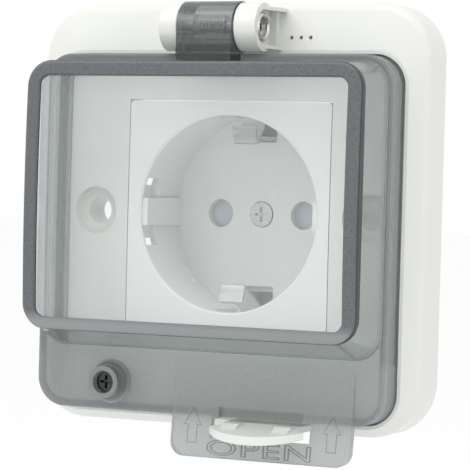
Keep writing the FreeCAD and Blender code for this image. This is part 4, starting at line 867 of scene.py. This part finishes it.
@dataclass(frozen=True)
class Lamp:
    """A soft square lamp that looks at the frame's origin, in metres and watts."""

    name: str
    place: tuple[float, float, float]
    size: float
    power: float

    def hang(self) -> None:
        """Hang the lamp."""
        lamp = bpy.data.lights.new(self.name, "AREA")
        lamp.size = self.size
        lamp.energy = self.power
        holder = bpy.data.objects.new(self.name, lamp)
        place = Vector(self.place)
        turn = (-place).to_track_quat("-Z", "Y").to_matrix().to_4x4()
        holder.matrix_world = Matrix.Translation(place) @ turn
        bpy.context.scene.collection.objects.link(holder)


LAMPS = (
    Lamp("key_lamp", (-0.55, -0.75, 0.75), 0.7, 3.2),
    Lamp("fill_lamp", (0.9, -0.35, 0.25), 0.6, 0.8),
    Lamp("top_lamp", (0.1, -0.6, 0.95), 0.6, 3.2),
)


@dataclass
class Studio:
    """White floor and backdrop, soft lamps, and the camera."""

    floor_height: float = -0.12
    floor_size: float = 6.0
    floor_glow: float = 0.85
    front_light: float = 0.70
    back_light: float = 0.90
    top_light: float = 0.2
    azimuth: float = 24.784
    elevation: float = 1.262
    roll: float = 1.57
    distance: float = 0.49084
    target: Vector = field(default_factory=lambda: Vector((-2.406, 0.0, -4.465)) * MM)
    lens: float = 180.94

    def build(self) -> None:
        """Make the studio."""
        self._light_world()
        self._lay_floor()
        for lamp in LAMPS:
            lamp.hang()
        self._place_camera()
        bpy.context.scene.view_settings.view_transform = "Standard"

    def _light_world(self) -> None:
        """Light the world: white behind the object and above, greyer on the camera's side."""
        world = bpy.data.worlds.new("studio_world")
        world.use_nodes = True
        bpy.context.scene.world = world
        hand = NodeTree(world.node_tree)
        background = next(node for node in world.node_tree.nodes if node.type == "BACKGROUND")
        way = hand.add("TexCoord").outputs["Generated"]
        parts = hand.add("SeparateXYZ", Vector=way)
        side = hand.add("MapRange", Value=parts.outputs["Y"], From_Min=-0.9, From_Max=0.3,
                        To_Min=self.front_light, To_Max=self.back_light)
        rise = hand.add("MapRange", Value=parts.outputs["Z"], From_Min=-0.2, From_Max=0.9,
                        To_Max=self.top_light)
        level = hand.math("ADD", side.outputs[0], rise.outputs[0], clamp=True)
        seen = hand.add("LightPath").outputs[Ray.CAMERA.value]
        hand.feed(background, "Color", (1.0, 1.0, 1.0, 1.0))
        hand.feed(background, "Strength", hand.math("MAXIMUM", level, seen))

    def _lay_floor(self) -> None:
        """Lay the plain pale floor, white to the camera."""
        shape = bmesh.new()
        bmesh.ops.create_grid(shape, x_segments=1, y_segments=1, size=self.floor_size)
        bmesh.ops.translate(shape, verts=shape.verts, vec=(0.0, 0.0, self.floor_height))
        floor = mesh_piece("studio_floor", shape, smooth=False)
        material, hand, shader = new_material("floor_white")
        hand.feed(shader, "Base Color", (0.86, 0.86, 0.86, 1.0))
        hand.feed(shader, "Roughness", 0.9)
        glow = hand.add("Emission", Color=(1.0, 1.0, 1.0, 1.0), Strength=1.0)
        seen = hand.add("LightPath").outputs[Ray.CAMERA.value]
        mix = hand.add("MixShader")
        hand.feed(mix, 0, hand.math("MULTIPLY", seen, self.floor_glow))
        hand.feed(mix, 1, shader.outputs[0])
        hand.feed(mix, 2, glow.outputs[0])
        output = next(node for node in hand.tree.nodes if node.type == "OUTPUT_MATERIAL")
        hand.feed(output, "Surface", mix.outputs[0])
        floor.data.materials.append(material)

    def _place_camera(self) -> None:
        """Place the camera where the photograph was taken from."""
        around, above, lean = (math.radians(v) for v in (self.azimuth, self.elevation, self.roll))
        back = Vector((math.sin(around) * math.cos(above), -math.cos(around) * math.cos(above),
                       math.sin(above)))
        right = Vector((math.cos(around), math.sin(around), 0.0))
        up = back.cross(right)
        leaned_right = right * math.cos(lean) + up * math.sin(lean)
        leaned_up = up * math.cos(lean) - right * math.sin(lean)
        lens = bpy.data.cameras.new("photo_camera")
        lens.sensor_width = 36.0
        lens.sensor_fit = "HORIZONTAL"
        lens.lens = self.lens
        lens.clip_start = 0.01
        camera = bpy.data.objects.new("photo_camera", lens)
        turn = Matrix((leaned_right, leaned_up, back)).transposed().to_4x4()
        camera.matrix_world = Matrix.Translation(self.target + back * self.distance) @ turn
        bpy.context.scene.collection.objects.link(camera)
        bpy.context.scene.camera = camera


def main() -> None:
    """Build the studio and dress every sub-assembly."""
    logging.basicConfig(level=logging.INFO, format="%(message)s")
    Studio().build()
    shop = Workshop()
    for assembly in (BackPlate(), SocketInsert(), Lid()):
        assembly.build(shop)


if __name__ == "__main__":
    main()
